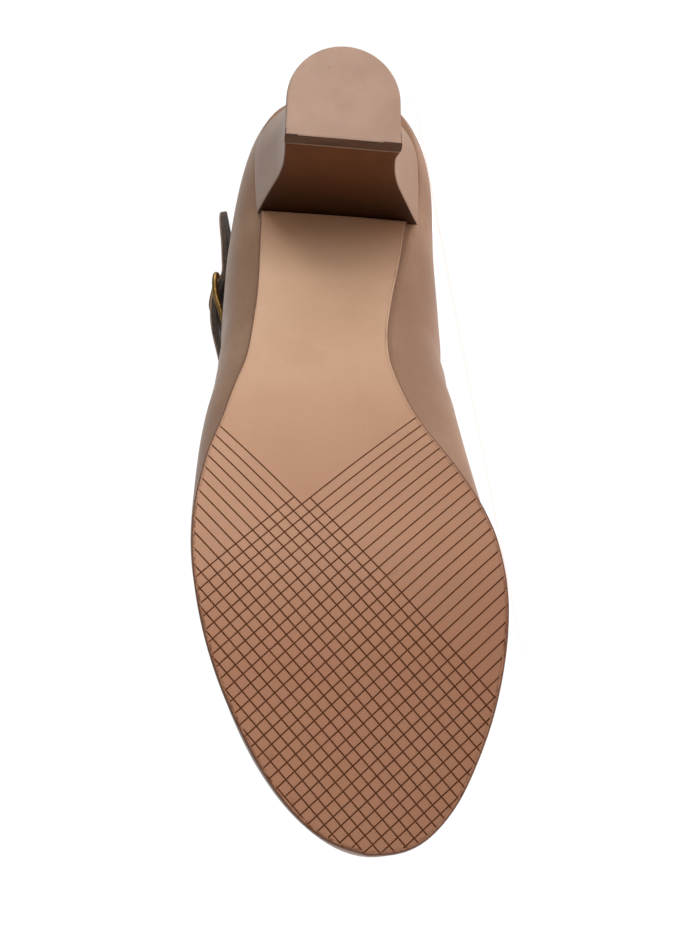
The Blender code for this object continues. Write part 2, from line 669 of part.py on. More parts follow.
for old in list(bpy.data.objects):
    bpy.data.objects.remove(old, do_unlink=True)
shoe = bpy.data.collections.new("character_shoe")
bpy.context.scene.collection.children.link(shoe)
cutters = bpy.data.collections.new("cutters")
bpy.context.scene.collection.children.link(cutters)

tan = paint("upper_leather", (0.28, 0.19, 0.14), 0.5)
sole_leather = paint("sole_leather", (0.42, 0.27, 0.18), 0.55)
wrap = paint("heel_wrap", (0.16, 0.09, 0.06), 0.5)
lift_rubber = paint("lift_rubber", (0.40, 0.27, 0.21), 0.6)
lining = paint("insole_leather", (0.50, 0.37, 0.27), 0.6)
strap_leather = paint("strap_leather", (0.24, 0.16, 0.12), 0.5)
brass = paint("buckle_brass", (0.45, 0.32, 0.12), 0.35, 1.0)
tab_leather = paint("tab_leather", (0.20, 0.13, 0.09), 0.5)

solids = [
    make_outsole(sole_leather), make_heel(wrap), make_lift(lift_rubber), make_upper(tan)[0],
    make_insole(lining), make_strap(strap_leather)[0], make_buckle(brass),
    make_prong(brass), make_tab(tab_leather),
]
bpy.context.view_layer.update()
DENSITY = {
    "outsole": 950, "heel": 900, "top_lift": 1100, "upper": 850, "insole": 700,
    "strap": 900, "buckle_frame": 8400, "buckle_prong": 8400, "buckle_tab": 900,
}
hole = cut_hole(bpy.data.objects["strap"])
world, mass, centre, feet = lay_on_side(solids, DENSITY, [hole])
print("mass kg", round(mass, 4), "centre", [round(c * 1000, 1) for c in centre])
print("rests on", [[round(c * 1000, 1) for c in p] for p in feet])
print("world from shoe", [[round(c, 6) for c in row] for row in world])
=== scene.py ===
"""Looks of the left character shoe: grooved leather sole, wrapped heel, tan upper, buckled strap.

Shapes are worked out in the standing shoe's own frame (millimetres, x forward, y towards the outer
side, z up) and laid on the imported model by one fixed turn.
"""
import math

import bpy
import numpy as np
from mathutils import Matrix, Vector


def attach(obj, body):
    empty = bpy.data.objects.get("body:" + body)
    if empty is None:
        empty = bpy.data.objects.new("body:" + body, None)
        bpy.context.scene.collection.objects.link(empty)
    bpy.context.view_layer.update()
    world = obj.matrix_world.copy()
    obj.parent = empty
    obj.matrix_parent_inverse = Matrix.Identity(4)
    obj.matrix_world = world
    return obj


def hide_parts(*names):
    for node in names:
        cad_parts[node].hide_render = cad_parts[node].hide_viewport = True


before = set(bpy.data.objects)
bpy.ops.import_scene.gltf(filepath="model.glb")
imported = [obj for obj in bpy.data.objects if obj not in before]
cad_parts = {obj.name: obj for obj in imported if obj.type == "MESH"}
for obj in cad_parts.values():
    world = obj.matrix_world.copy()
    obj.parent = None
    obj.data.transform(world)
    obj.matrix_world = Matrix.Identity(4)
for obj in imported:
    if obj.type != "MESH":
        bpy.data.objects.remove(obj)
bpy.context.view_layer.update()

MM = 0.001
WORLD = np.array([
    (-0.987814, 0.152745, 0.02987, 0.115938),
    (0.0, -0.191922, 0.98141, -0.053293),
    (0.155638, 0.969451, 0.189583, 0.011552),
])

GAP = 0.3            # space left between pieces that touch
SOLE = 3.4           # outsole leather
WALL = 1.8           # upper leather with its lining
MARGIN = 9.0         # lasting allowance turned in under the insole
LIFT = 4.9           # top lift
BREAST_X = 50.4      # heel breast at the middle of the shoe
BREAST_SKEW = -0.06  # the breast is not quite square to the shoe
BAR_R = 0.9          # buckle wire

# underside of the sole and of the heel seat: x, z
UNDERSIDE = [
    (-12, 60.6), (0, 58.2), (20, 54.0), (45, 47.5), (60, 42.5), (80, 34.0), (100, 24.0),
    (120, 14.5), (140, 6.8), (155, 2.9), (165, 0.9), (173, -0.1), (187, -0.1), (205, 1.3),
    (220, 3.6), (241, 9.0),
]

# outsole edge from the breast to the tip: lateral x, y, medial x, y
SOLE_EDGE = [
    (48.9, 23.0, 51.5, -20.1), (64.4, 23.4, 67.0, -17.7), (79.9, 23.9, 78.5, -15.4),
    (97.4, 25.6, 89.9, -13.4), (106.1, 27.0, 98.8, -12.5), (113.5, 29.3, 105.2, -12.9),
    (127.8, 33.3, 112.9, -14.7), (135.5, 35.8, 123.9, -18.8), (143.7, 37.6, 136.6, -26.4),
    (150.9, 38.8, 148.9, -33.3), (159.5, 39.3, 157.1, -36.7), (169.6, 38.7, 166.2, -38.7),
    (180.7, 36.8, 177.0, -39.7), (193.6, 33.1, 191.7, -38.4), (207.6, 27.1, 205.5, -35.3),
    (216.0, 22.5, 218.5, -30.4), (221.3, 19.0, 225.4, -26.9), (227.1, 14.3, 230.8, -22.9),
    (231.0, 10.2, 234.7, -18.6), (234.3, 5.5, 237.1, -13.3), (237.9, -5.0, 237.9, -5.0),
]

# heel block: share of its height, back x, x where the sides start to turn, half width,
# half width at the breast, middle y
HEEL = [
    (0.00, 21.8, 38.5, 15.5, 15.85, 1.4), (0.10, 21.4, 38.3, 15.3, 15.4, 1.8),
    (0.25, 20.2, 37.8, 15.8, 15.7, 1.65), (0.42, 17.8, 36.6, 17.0, 16.9, 1.45),
    (0.58, 14.8, 34.8, 19.0, 18.8, 1.2), (0.74, 10.8, 32.4, 21.3, 20.8, 0.9),
    (0.88, 6.4, 30.0, 23.4, 22.5, 0.6), (0.96, 3.6, 28.9, 24.5, 23.5, 0.35),
    (1.00, 2.5, 28.5, 24.8, 23.9, 0.2),
]

# upper, one row per line from the feather edge to the topline, round the shoe from the
# middle of the back: feather x, y; bulge out, its height; then two points on the way, each
# as share of the way in, outward offset and height; topline x, y, z
UPPER = [
    (2.6, 0.2, 4.0, 24, 0.40, 3.6, 37.0, 0.70, 2.1, 46.0, 3.0, 0.0, 115.0),
    (6.6, 16.2, 3.4, 23, 0.40, 2.6, 36.0, 0.70, 1.7, 44.5, 8.0, 14.6, 113.0),
    (25.0, 24.4, 4.0, 22, 0.40, 2.8, 34.5, 0.70, 1.6, 42.5, 26.0, 24.7, 106.0),
    (50.0, 23.4, 9.0, 24, 0.40, 6.3, 32.5, 0.70, 3.4, 38.0, 52.0, 28.0, 93.0),
    (78.0, 23.7, 10.0, 24, 0.40, 7.4, 32.0, 0.70, 4.4, 37.5, 78.0, 30.5, 81.0),
    (99.0, 25.7, 8.8, 22, 0.40, 7.1, 32.0, 0.70, 4.6, 38.5, 101.0, 31.0, 71.0),
    (127.0, 32.6, 5.7, 18, 0.30, 4.6, 31.0, 0.70, 4.0, 39.5, 125.0, 27.0, 60.0),
    (143.0, 36.3, 3.0, 15, 0.30, 2.3, 28.0, 0.67, 2.6, 38.8, 134.5, 22.3, 56.0),
    (160.0, 37.8, 1.8, 12, 0.28, 0.9, 25.0, 0.64, 1.5, 37.6, 143.0, 16.6, 53.2),
    (185.0, 33.1, 1.8, 10, 0.20, 0.2, 20.5, 0.55, 0.8, 34.0, 149.5, 10.0, 51.0),
    (211.0, 23.2, 1.4, 9, 0.14, 0.0, 19.0, 0.52, 0.2, 30.5, 152.0, 5.0, 50.3),
    (228.0, 10.8, 1.1, 8, 0.11, 0.0, 18.6, 0.50, 0.0, 28.0, 153.0, 1.5, 50.1),
    (236.4, -5.2, 1.0, 7, 0.10, 0.0, 17.8, 0.50, 0.0, 26.0, 153.2, -1.3, 50.0),
    (231.6, -19.2, 1.3, 8, 0.11, 0.0, 18.4, 0.50, 0.0, 27.6, 153.0, -4.0, 50.1),
    (218.8, -27.6, 1.5, 9, 0.13, 0.0, 19.2, 0.52, 0.2, 30.2, 152.0, -7.6, 50.3),
    (200.0, -34.9, 1.8, 10, 0.16, 0.0, 21.0, 0.55, 0.8, 33.5, 149.5, -12.3, 50.9),
    (177.0, -38.2, 1.7, 11, 0.22, 0.6, 24.5, 0.60, 1.6, 38.5, 143.5, -19.0, 52.8),
    (150.0, -32.6, 4.4, 17, 0.30, 3.0, 32.0, 0.68, 2.6, 42.5, 131.0, -26.0, 57.5),
    (127.0, -20.2, 15.2, 29, 0.50, 8.6, 41.5, 0.78, 5.6, 47.5, 112.0, -30.5, 66.0),
    (99.0, -12.7, 19.4, 29, 0.52, 10.6, 37.0, 0.78, 5.8, 42.0, 94.0, -29.8, 74.0),
    (73.0, -17.1, 14.7, 28, 0.50, 8.2, 35.0, 0.75, 4.2, 39.5, 71.0, -28.4, 83.5),
    (50.0, -22.8, 7.8, 25, 0.42, 5.4, 34.0, 0.71, 2.9, 40.0, 48.0, -26.8, 95.0),
    (22.0, -24.4, 5.0, 22, 0.40, 3.6, 34.5, 0.70, 1.9, 42.5, 24.0, -24.9, 106.5),
    (4.8, -16.5, 4.4, 23, 0.40, 3.2, 36.0, 0.70, 1.8, 44.5, 6.8, -14.4, 113.0),
]

# strap centre line from its root inside the medial quarter to the free tip:
# x, y, z, outward normal x, y, z, width
STRAP = [
    (83.0, -27.4, 67.0, -0.05, -0.98, 0.05, 12.0), (85.0, -26.3, 76.0, -0.02, -0.98, 0.18, 12.0),
    (90.0, -27.2, 85.0, 0.05, -0.95, 0.28, 12.0), (99.0, -24.0, 95.5, 0.25, -0.80, 0.55, 12.0),
    (108.5, -13.5, 103.5, 0.42, -0.42, 0.80, 12.0), (113.0, 0.5, 106.5, 0.48, 0.02, 0.88, 12.0),
    (112.3, 12.5, 105.3, 0.42, 0.38, 0.82, 12.0), (108.0, 21.2, 102.0, 0.36, 0.62, 0.68, 12.0),
    (101.0, 26.6, 98.3, 0.28, 0.80, 0.50, 12.0), (92.5, 29.9, 94.9, 0.20, 0.91, 0.34, 12.0),
    (84.0, 32.1, 92.0, 0.10, 0.97, 0.22, 12.0), (76.5, 34.0, 89.9, 0.03, 0.98, 0.18, 12.0),
    (72.5, 35.1, 88.9, 0.0, 0.99, 0.17, 12.0), (69.3, 35.7, 88.2, 0.0, 0.99, 0.17, 12.0),
    (66.5, 35.95, 87.6, 0.0, 0.99, 0.17, 12.0), (63.5, 35.8, 87.1, 0.0, 0.99, 0.17, 12.0),
    (60.5, 35.0, 86.6, 0.0, 0.99, 0.17, 12.0), (57.8, 34.05, 86.1, 0.0, 0.99, 0.17, 12.0),
    (54.8, 32.8, 85.6, 0.0, 0.99, 0.17, 12.0), (50.0, 32.6, 85.1, 0.0, 0.99, 0.18, 12.0),
    (44.0, 32.95, 84.7, 0.0, 0.99, 0.18, 12.0), (39.0, 33.6, 84.5, 0.0, 0.99, 0.18, 10.6),
    (35.5, 34.1, 84.35, 0.0, 0.99, 0.18, 7.6), (33.0, 34.4, 84.25, 0.0, 0.99, 0.18, 3.8),
    (32.1, 34.5, 84.2, 0.0, 0.99, 0.18, 1.4),
]
STRAP_THICK = 2.2
HOLE_STEP = 7.0      # from one punched hole to the next
HOLE_R = 1.05
GRAIN_SIDE = 0.45    # how far the smooth face reaches down the strap's edge

# buckle: centre, half length along the strap, half width across it, then how far out the
# wire runs along it, from the free side, which lies over the strap, to the bar under it
BUCKLE = (62.4, 34.6, 86.3)
BUCKLE_LEN = 7.6
BUCKLE_WIDE = 8.4
BUCKLE_CORNER = 2.8
RAIL = [(-7.6, 0.65), (-4.5, 0.72), (0.0, 0.2), (4.0, -1.1), (7.6, -2.0)]
TAB_WIDE = 8.0
TAB_THICK = 0.6
TAB_ROOT = (58.4, 32.35, 86.4)
# prong: along the strap, outward
PRONG = [(4.9, 0.55), (2.0, 3.0), (-0.5, 3.25), (-3.5, 2.75), (-6.0, 2.4), (-7.6, 2.25), (-8.8, 2.0)]
PRONG_R = 0.65


def unit(vectors):
    """Vectors with their length made one."""
    return vectors / np.linalg.norm(vectors, axis=-1, keepdims=True)


def run_along(points):
    """Way from the first point to each one."""
    return np.concatenate([[0], np.cumsum(np.linalg.norm(np.diff(points, axis=0), axis=1))])


def pchip(rows):
    """Monotone curve through (x, value) rows."""
    x = np.array([r[0] for r in rows], float)
    y = np.array([r[1] for r in rows], float)
    h = np.diff(x)
    d = np.diff(y) / h
    m = np.zeros_like(y)
    for i in range(1, len(x) - 1):
        if d[i - 1] * d[i] > 0:
            w1 = 2 * h[i] + h[i - 1]
            w2 = h[i] + 2 * h[i - 1]
            m[i] = (w1 + w2) / (w1 / d[i - 1] + w2 / d[i])
    m[0], m[-1] = d[0], d[-1]

    def value(t):
        t = np.asarray(t, float)
        k = np.clip(np.searchsorted(x, t) - 1, 0, len(h) - 1)
        u = (t - x[k]) / h[k]
        inside = (1 + 2 * u) * (1 - u) ** 2 * y[k] + u * (1 - u) ** 2 * h[k] * m[k]
        inside = inside + u * u * (3 - 2 * u) * y[k + 1] + u * u * (u - 1) * h[k] * m[k + 1]
        low = y[0] + m[0] * (t - x[0])
        high = y[-1] + m[-1] * (t - x[-1])
        return np.where(t < x[0], low, np.where(t > x[-1], high, inside))
    return value


def spline(points, closed=False, keys=None):
    """Cubic through rows of numbers, over their chord length or over keys; takes 0 to 1."""
    p = np.array(points, float)
    if closed:
        p = np.vstack([p, p[:1]])
    if keys is None:
        keys = run_along(p)
    t = np.asarray(keys, float)
    t = (t - t[0]) / (t[-1] - t[0])
    n = len(p)
    h = np.diff(t)
    a = np.zeros((n, n))
    b = np.zeros((n, p.shape[1]))
    for i in range(1, n - 1):
        a[i, i - 1:i + 2] = h[i - 1], 2 * (h[i - 1] + h[i]), h[i]
        b[i] = 6 * ((p[i + 1] - p[i]) / h[i] - (p[i] - p[i - 1]) / h[i - 1])
    if closed:
        a[0, 0], a[0, 1], a[0, n - 2] = 2 * (h[0] + h[-1]), h[0], h[-1]
        b[0] = 6 * ((p[1] - p[0]) / h[0] - (p[0] - p[n - 2]) / h[-1])
        a[n - 1, n - 1], a[n - 1, 0] = 1, -1
    else:
        a[0, 0] = a[n - 1, n - 1] = 1
    s = np.linalg.solve(a, b)

    def value(u):
        u = np.atleast_1d(np.asarray(u, float))
        k = np.clip(np.searchsorted(t, u) - 1, 0, n - 2)
        w = ((u - t[k]) / h[k])[:, None]
        hh = (h[k] ** 2)[:, None] / 6
        line = (1 - w) * p[k] + w * p[k + 1]
        return line + hh * (((1 - w) ** 3 - (1 - w)) * s[k] + (w ** 3 - w) * s[k + 1])
    return value


under_curve = pchip(UNDERSIDE)


def underside(x):
    """Underside of the outsole, never below the level that the ball stands on."""
    return np.maximum(under_curve(x), 0.0)


def feather_z(x):
    """Level where the upper rests on the sole and on the heel."""
    return underside(x) + SOLE + GAP


def outward(loop):
    """Unit normals in plan, pointing out of a loop that runs from the back over y+."""
    d = np.roll(loop, -1, axis=0) - np.roll(loop, 1, axis=0)
    return unit(np.stack([-d[:, 1], d[:, 0]], 1))


def heel_ring(v, count=84, side=13, across_count=20):
    """Plan of the heel at one share of its height."""
    t = np.array(HEEL)
    back, turn, half, front, mid = [pchip(list(zip(t[:, 0], t[:, k])))(v) for k in range(1, 6)]
    a = np.linspace(0, math.pi, count)
    arc = np.stack([turn - (turn - back) * np.sin(a), mid + half * np.cos(a)], 1)
    steps = np.linspace(0, 1, side)[:-1]
    sides = []
    for sign in (1, -1):
        y_end = mid + sign * front
        x_end = BREAST_X + BREAST_SKEW * y_end
        y = y_end + (mid + sign * half - y_end) * (1 - (1 - steps) ** 2)
        sides.append(np.stack([x_end + (turn - x_end) * steps, y], 1))
    across = np.linspace(0, 1, across_count)[1:-1, None]
    breast = sides[1][0] * (1 - across) + sides[0][0] * across
    return np.vstack([sides[0], arc, sides[1][::-1], breast])


def upper_lines(count=264, rise=60):
    """Outer face of the upper as rows of points from the feather edge to the topline."""
    t = np.array(UPPER)
    plan = t[:, [0, 1]]
    value = spline(t, closed=True, keys=run_along(np.vstack([plan, plan[:1]])))
    dense = np.linspace(0, 1, 1200, endpoint=False)
    rows = value(dense)
    weight = np.linalg.norm(np.roll(rows[:, :2], -1, axis=0) - rows[:, :2], axis=1)
    s = np.interp(np.arange(count) / count, np.concatenate([[0], np.cumsum(weight)]) / weight.sum(),
                  np.concatenate([dense, [1.0]]))
    r = value(s)
    n = outward(r[:, :2])
    b = np.column_stack([r[:, :2], feather_z(r[:, 0])])
    top = r[:, 10:13]
    d = (top - b) * [1, 1, 0]
    n3 = np.column_stack([n, np.zeros(count)])

    def point(share, out, height):
        return b + d * share[:, None] + n3 * out[:, None] + np.array([0, 0, 1]) * height[:, None]
    zero = np.zeros(count)
    low = point(zero, r[:, 2] * 0.70, r[:, 3] * 0.36)
    bulge = point(zero, r[:, 2], r[:, 3])
    shoulder = point(r[:, 4], r[:, 5], r[:, 6])
    mid = point(r[:, 7], r[:, 8], r[:, 9])
    lines = np.zeros((count, rise, 3))
    u = np.linspace(0, 1, rise)
    for i in range(count):
        control = np.array([b[i], low[i], bulge[i], shoulder[i], mid[i], top[i]])
        lines[i] = spline(control)(u)
    return lines, b, n3


def normals(grid):
    """Normals of a grid that is closed along its first axis."""
    a = np.roll(grid, -1, axis=0) - np.roll(grid, 1, axis=0)
    b = np.gradient(grid, axis=1)
    return unit(np.cross(a, b))


def buckle_axes():
    """Buckle's own axes: along the strap towards its root, outward, across."""
    along = unit(np.array([1.0, 0.0, 0.14]))
    out = np.array([0.0, 1.0, 0.15])
    out = unit(out - along * out.dot(along))
    return along, out, np.cross(along, out)


def to_world(points):
    """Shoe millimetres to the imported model's metres."""
    p = np.asarray(points, float).reshape(-1, 3) * MM
    return p @ WORLD[:, :3].T + WORLD[:, 3]


def to_shoe(points):
    """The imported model's metres back to shoe millimetres."""
    return (points - WORLD[:, 3]) @ WORLD[:, :3] / MM


def turn_world(direction):
    return Vector(WORLD[:, :3] @ np.asarray(direction, float))


def read(items, name):
    """Rows of three numbers from a mesh's corners or faces."""
    rows = np.zeros(len(items) * 3)
    items.foreach_get(name, rows)
    return rows.reshape(-1, 3)


def only(piece):
    """Make one piece the selected and active one, out of edit mode."""
    if bpy.context.object and bpy.context.object.mode != "OBJECT":
        bpy.ops.object.mode_set(mode="OBJECT")
    bpy.ops.object.select_all(action="DESELECT")
    piece.select_set(True)
    bpy.context.view_layer.objects.active = piece


def lay(mesh, points):
    """Put the corners of a mesh on shoe points."""
    mesh.vertices.foreach_set("co", to_world(points).ravel())
    mesh.update()


def edit_all(piece):
    only(piece)
    bpy.ops.object.mode_set(mode="EDIT")
    bpy.ops.mesh.select_all(action="SELECT")


def edit_some(piece, kind, items, chosen):
    """Open a piece for editing with only the chosen corners or faces selected."""
    only(piece)
    bpy.ops.object.mode_set(mode="EDIT")
    bpy.ops.mesh.select_mode(type=kind)
    bpy.ops.mesh.select_all(action="DESELECT")
    bpy.ops.object.mode_set(mode="OBJECT")
    items.foreach_set("select", chosen)
    bpy.ops.object.mode_set(mode="EDIT")


def face_outwards(piece):
    edit_all(piece)
    bpy.ops.mesh.normals_make_consistent(inside=False)
    bpy.ops.object.mode_set(mode="OBJECT")


def weld(piece, distance=0.00001):
    edit_all(piece)
    bpy.ops.mesh.remove_doubles(threshold=distance)
    bpy.ops.object.mode_set(mode="OBJECT")
    face_outwards(piece)


def cap(piece, ring):
    """Close one open end of a piece, given the shoe points round it."""
    own = to_shoe(read(piece.data.vertices, "co"))
    chosen = [bool(np.min(((ring - p) ** 2).sum(1)) < 1e-4) for p in own]
    edit_some(piece, "VERT", piece.data.vertices, chosen)
    bpy.ops.mesh.edge_face_add()
    bpy.ops.object.mode_set(mode="OBJECT")
    face_outwards(piece)


def sheet_piece(name, points):
    """A grid primitive laid on rows of shoe points, rows x columns x 3."""
    rows, cols = points.shape[:2]
    bpy.ops.object.select_all(action="DESELECT")
    bpy.ops.mesh.primitive_grid_add(x_subdivisions=cols - 1, y_subdivisions=rows - 1, size=0.1)
    piece = bpy.context.object
    piece.name = name
    piece.data.name = name
    lay(piece.data, points)
    return piece


def wrapped(grid):
    """A grid with its first column and row repeated at its end."""
    grid = np.concatenate([grid, grid[:, :1]], axis=1)
    return np.concatenate([grid, grid[:1]], axis=0)


def tube_piece(name, points, capped=True):
    """Rows that each close on themselves; the ends are capped, or else joined to each other."""
    ring = wrapped(points)
    piece = sheet_piece(name, ring[:-1] if capped else ring)
    weld(piece)
    if capped:
        cap(piece, points[0])
        cap(piece, points[-1])
    return piece


def modify(piece, kind, **settings):
    only(piece)
    step = piece.modifiers.new(kind.lower(), kind)
    for key, value in settings.items():
        setattr(step, key, value)
    bpy.ops.object.modifier_apply(modifier=step.name)


def round_edges(piece, degrees):
    """Bevel the edges that are sharper than an angle."""
    modify(piece, "BEVEL", width=EDGE_ROUND * MM, segments=3, limit_method="ANGLE",
           angle_limit=math.radians(degrees))


def smooth(piece, degrees):
    only(piece)
    bpy.ops.object.shade_smooth_by_angle(angle=math.radians(degrees))


def face_points(piece):
    """Middle and normal of each face in the shoe's own frame."""
    faces = piece.data.polygons
    return to_shoe(read(faces, "center")), read(faces, "normal") @ WORLD[:, :3]


def mark(piece, name, values):
    """Store one number per corner for the finish to read."""
    layer = piece.data.attributes.new(name, "FLOAT", "POINT")
    layer.data.foreach_set("value", np.asarray(values, float).ravel())


def finish_with(piece, *finishes):
    count = len(piece.data.polygons)
    index = np.zeros(count, dtype=np.int32)
    piece.data.polygons.foreach_get("material_index", index)
    piece.data.materials.clear()
    for item in finishes:
        piece.data.materials.append(item)
    piece.data.polygons.foreach_set("material_index", index.clip(0, len(finishes) - 1))


def paint_faces(piece, index):
    piece.data.polygons.foreach_set("material_index", np.asarray(index, dtype=np.int32))
    piece.data.update()


def place(piece, slot, *nodes):
    """The piece rides on the shoe and stands for its solid; the slot is not used."""
    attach(piece, "root")
    if nodes:
        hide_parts(*nodes)


def joined(name, parts):
    """One piece of several."""
    bpy.ops.object.select_all(action="DESELECT")
    for item in parts:
        item.select_set(True)
    bpy.context.view_layer.objects.active = parts[0]
    bpy.ops.object.join()
    whole = bpy.context.object
    whole.name = name
    whole.data.name = name
    return whole


def smoothstep(low, high, value):
    t = np.clip((np.asarray(value, float) - low) / (high - low), 0, 1)
    return t * t * (3 - 2 * t)


class Value:
    """A number or colour on its way through a finish; arithmetic adds the nodes for it."""

    def __init__(self, finish, socket):
        self.finish = finish
        self.socket = socket

    def calc(self, kind, a, b):
        return self.finish.node("ShaderNodeMath", {"operation": kind}, {0: a, 1: b})

    def __add__(self, other):
        return self.calc("ADD", self, other)

    def __radd__(self, other):
        return self.calc("ADD", other, self)

    def __sub__(self, other):
        return self.calc("SUBTRACT", self, other)

    def __rsub__(self, other):
        return self.calc("SUBTRACT", other, self)

    def __mul__(self, other):
        return self.calc("MULTIPLY", self, other)

    def __rmul__(self, other):
        return self.calc("MULTIPLY", other, self)

    def step(self, low, high):
        """Smooth rise from 0 at low to 1 at high."""
        return self.finish.node("ShaderNodeMapRange", {"interpolation_type": "SMOOTHSTEP"},
                                {0: self, 1: low, 2: high, 3: 0.0, 4: 1.0})


class Finish:
    """One material, with its shader and the shoe's own coordinates in millimetres."""

    def __init__(self, name, **constants):
        self.material = bpy.data.materials.new(name)
        self.material.use_nodes = True
        self.tree = self.material.node_tree
        self.tree.nodes.clear()
        self.end = self.tree.nodes.new("ShaderNodeOutputMaterial")
        self.shader = self.tree.nodes.new("ShaderNodeBsdfPrincipled")
        self.tree.links.new(self.shader.outputs[0], self.end.inputs[0])
        for key, value in constants.items():
            self.shader.inputs[key.replace("_", " ")].default_value = value
        turn = Matrix(WORLD[:, :3].tolist()).transposed()
        shift = turn @ Vector(WORLD[:, 3]) * -1000
        self.place = self.node("ShaderNodeMapping", {"vector_type": "POINT"}, {
            0: self.node("ShaderNodeTexCoord", {}, {}, "Object"), "Location": shift,
            "Rotation": turn.to_euler("XYZ"), "Scale": (1000, 1000, 1000)})
        parts = self.node("ShaderNodeSeparateXYZ", {}, {0: self.place}, None)
        self.x, self.y, self.z = [Value(self, parts.outputs[k]) for k in range(3)]

    def node(self, kind, settings, values, out=0):
        """Add a node; its values are numbers, colours or other nodes' values."""
        item = self.tree.nodes.new(kind)
        for key, value in settings.items():
            setattr(item, key, value)
        for key, value in values.items():
            if isinstance(value, Value):
                self.tree.links.new(value.socket, item.inputs[key])
            else:
                item.inputs[key].default_value = value
        if out is None:
            return item
        return Value(self, item.outputs[out])

    def noise(self, scale, detail=3.0, rough=0.55, stretch=None):
        at = self.place
        if stretch:
            at = self.node("ShaderNodeVectorMath", {"operation": "MULTIPLY"}, {0: at, 1: stretch})
        return self.node("ShaderNodeTexNoise", {"noise_dimensions": "3D"},
                         {"Vector": at, "Scale": scale, "Detail": detail, "Roughness": rough})

    def cells(self, scale):
        return self.node("ShaderNodeTexVoronoi", {"feature": "F1"},
                         {"Vector": self.place, "Scale": scale, "Randomness": 1.0})

    def grain(self, fine):
        """Height of smooth calf leather from its fine folds, its pores and a dusting."""
        return fine * 0.6 + self.cells(1.6) * 0.4 + self.noise(2.6, 3) * 0.5

    def mark(self, name):
        return self.node("ShaderNodeAttribute", {"attribute_name": name}, {}, "Fac")

    def mix(self, share, first, second):
        return self.node("ShaderNodeMix", {"data_type": "RGBA"}, {0: share, 6: first, 7: second}, 2)

    def bump(self, height, distance, strength):
        return self.node("ShaderNodeBump", {},
                         {"Strength": strength, "Distance": distance * MM, "Height": height})

    def set(self, **values):
        for key, value in values.items():
            socket = self.shader.inputs[key.replace("_", " ")]
            self.tree.links.new(value.socket, socket)
        return self.material


def shade(r, g, b):
    """A colour given in display units, 0 to 255."""
    linear = []
    for c in (r, g, b):
        c = c / 255
        linear.append(c / 12.92 if c <= 0.04045 else ((c + 0.055) / 1.055) ** 2.4)
    return tuple(linear) + (1.0,)


# tread: first groove of each family as two points, how far apart the grooves are, half width,
# depth, which grooves of a family are cut, and where along the shoe the tread starts
TREAD_A = ((124.4, -18.8), (173.2, 35.2))
TREAD_B = ((128.4, 33.2), (204.2, -35.0))
TREAD_STEP = 2.85
TREAD_HALF = 0.22
TREAD_DEPTH = 0.5
TREAD_RANGE = range(-1, 42)
TREAD_FROM = 118.0
WAIST_TO = 132.0     # where the lengthwise cuts of the plain waist end
WAIST_CROWN = 0.55   # how far the waist bulges in the middle
EDGE_ROUND = 0.5     # edges of the sole and of the heel cover

LEVEL_X = np.linspace(30.0, 250.0, 2201)
LEVEL_S = np.concatenate([[0], np.cumsum(np.hypot(np.diff(LEVEL_X), np.diff(underside(LEVEL_X))))])
LEVEL_S = LEVEL_S + 154.0 - np.interp(154.0, LEVEL_X, LEVEL_S)


def unrolled(x):
    """Length along the sole's underside."""
    return np.interp(x, LEVEL_X, LEVEL_S)


def rolled(s):
    return np.interp(s, LEVEL_S, LEVEL_X)


def groove_line(pair):
    """Point and toeward normal of a family's first groove on the unrolled sole."""
    p, q = [np.array([unrolled(x), y]) for x, y in pair]
    d = unit(q - p)
    n = np.array([-d[1], d[0]])
    return p, n * (1 if n[0] > 0 else -1)


def tread_depth(s, y):
    """Groove depth on the unrolled sole: two crossing families that meet in a point at the ball."""
    (pa, na), (pb, nb) = groove_line(TREAD_A), groove_line(TREAD_B)
    flat = np.column_stack([s, y])
    a, b = (flat - pa) @ na, (flat - pb) @ nb
    depth = np.zeros(len(flat))
    for own, other in ((a, b), (b, a)):
        first = np.where(other > 0.2, -1, 0)
        k = np.maximum(np.round(own / TREAD_STEP), first)
        depth = np.maximum(depth, 1 - np.abs(own - k * TREAD_STEP) / TREAD_HALF)
    return depth.clip(0)


def cut_faces(piece, wanted, point, normal):
    """Bisect the wanted faces of a flat piece by an upright plane; lengths in millimetres."""
    faces = piece.data.polygons
    edit_some(piece, "FACE", faces, wanted(read(faces, "center") / MM, read(faces, "normal")))
    bpy.ops.mesh.bisect(plane_co=(point[0] * MM, point[1] * MM, 0), plane_no=(normal[0], normal[1], 0))
    bpy.ops.object.mode_set(mode="OBJECT")


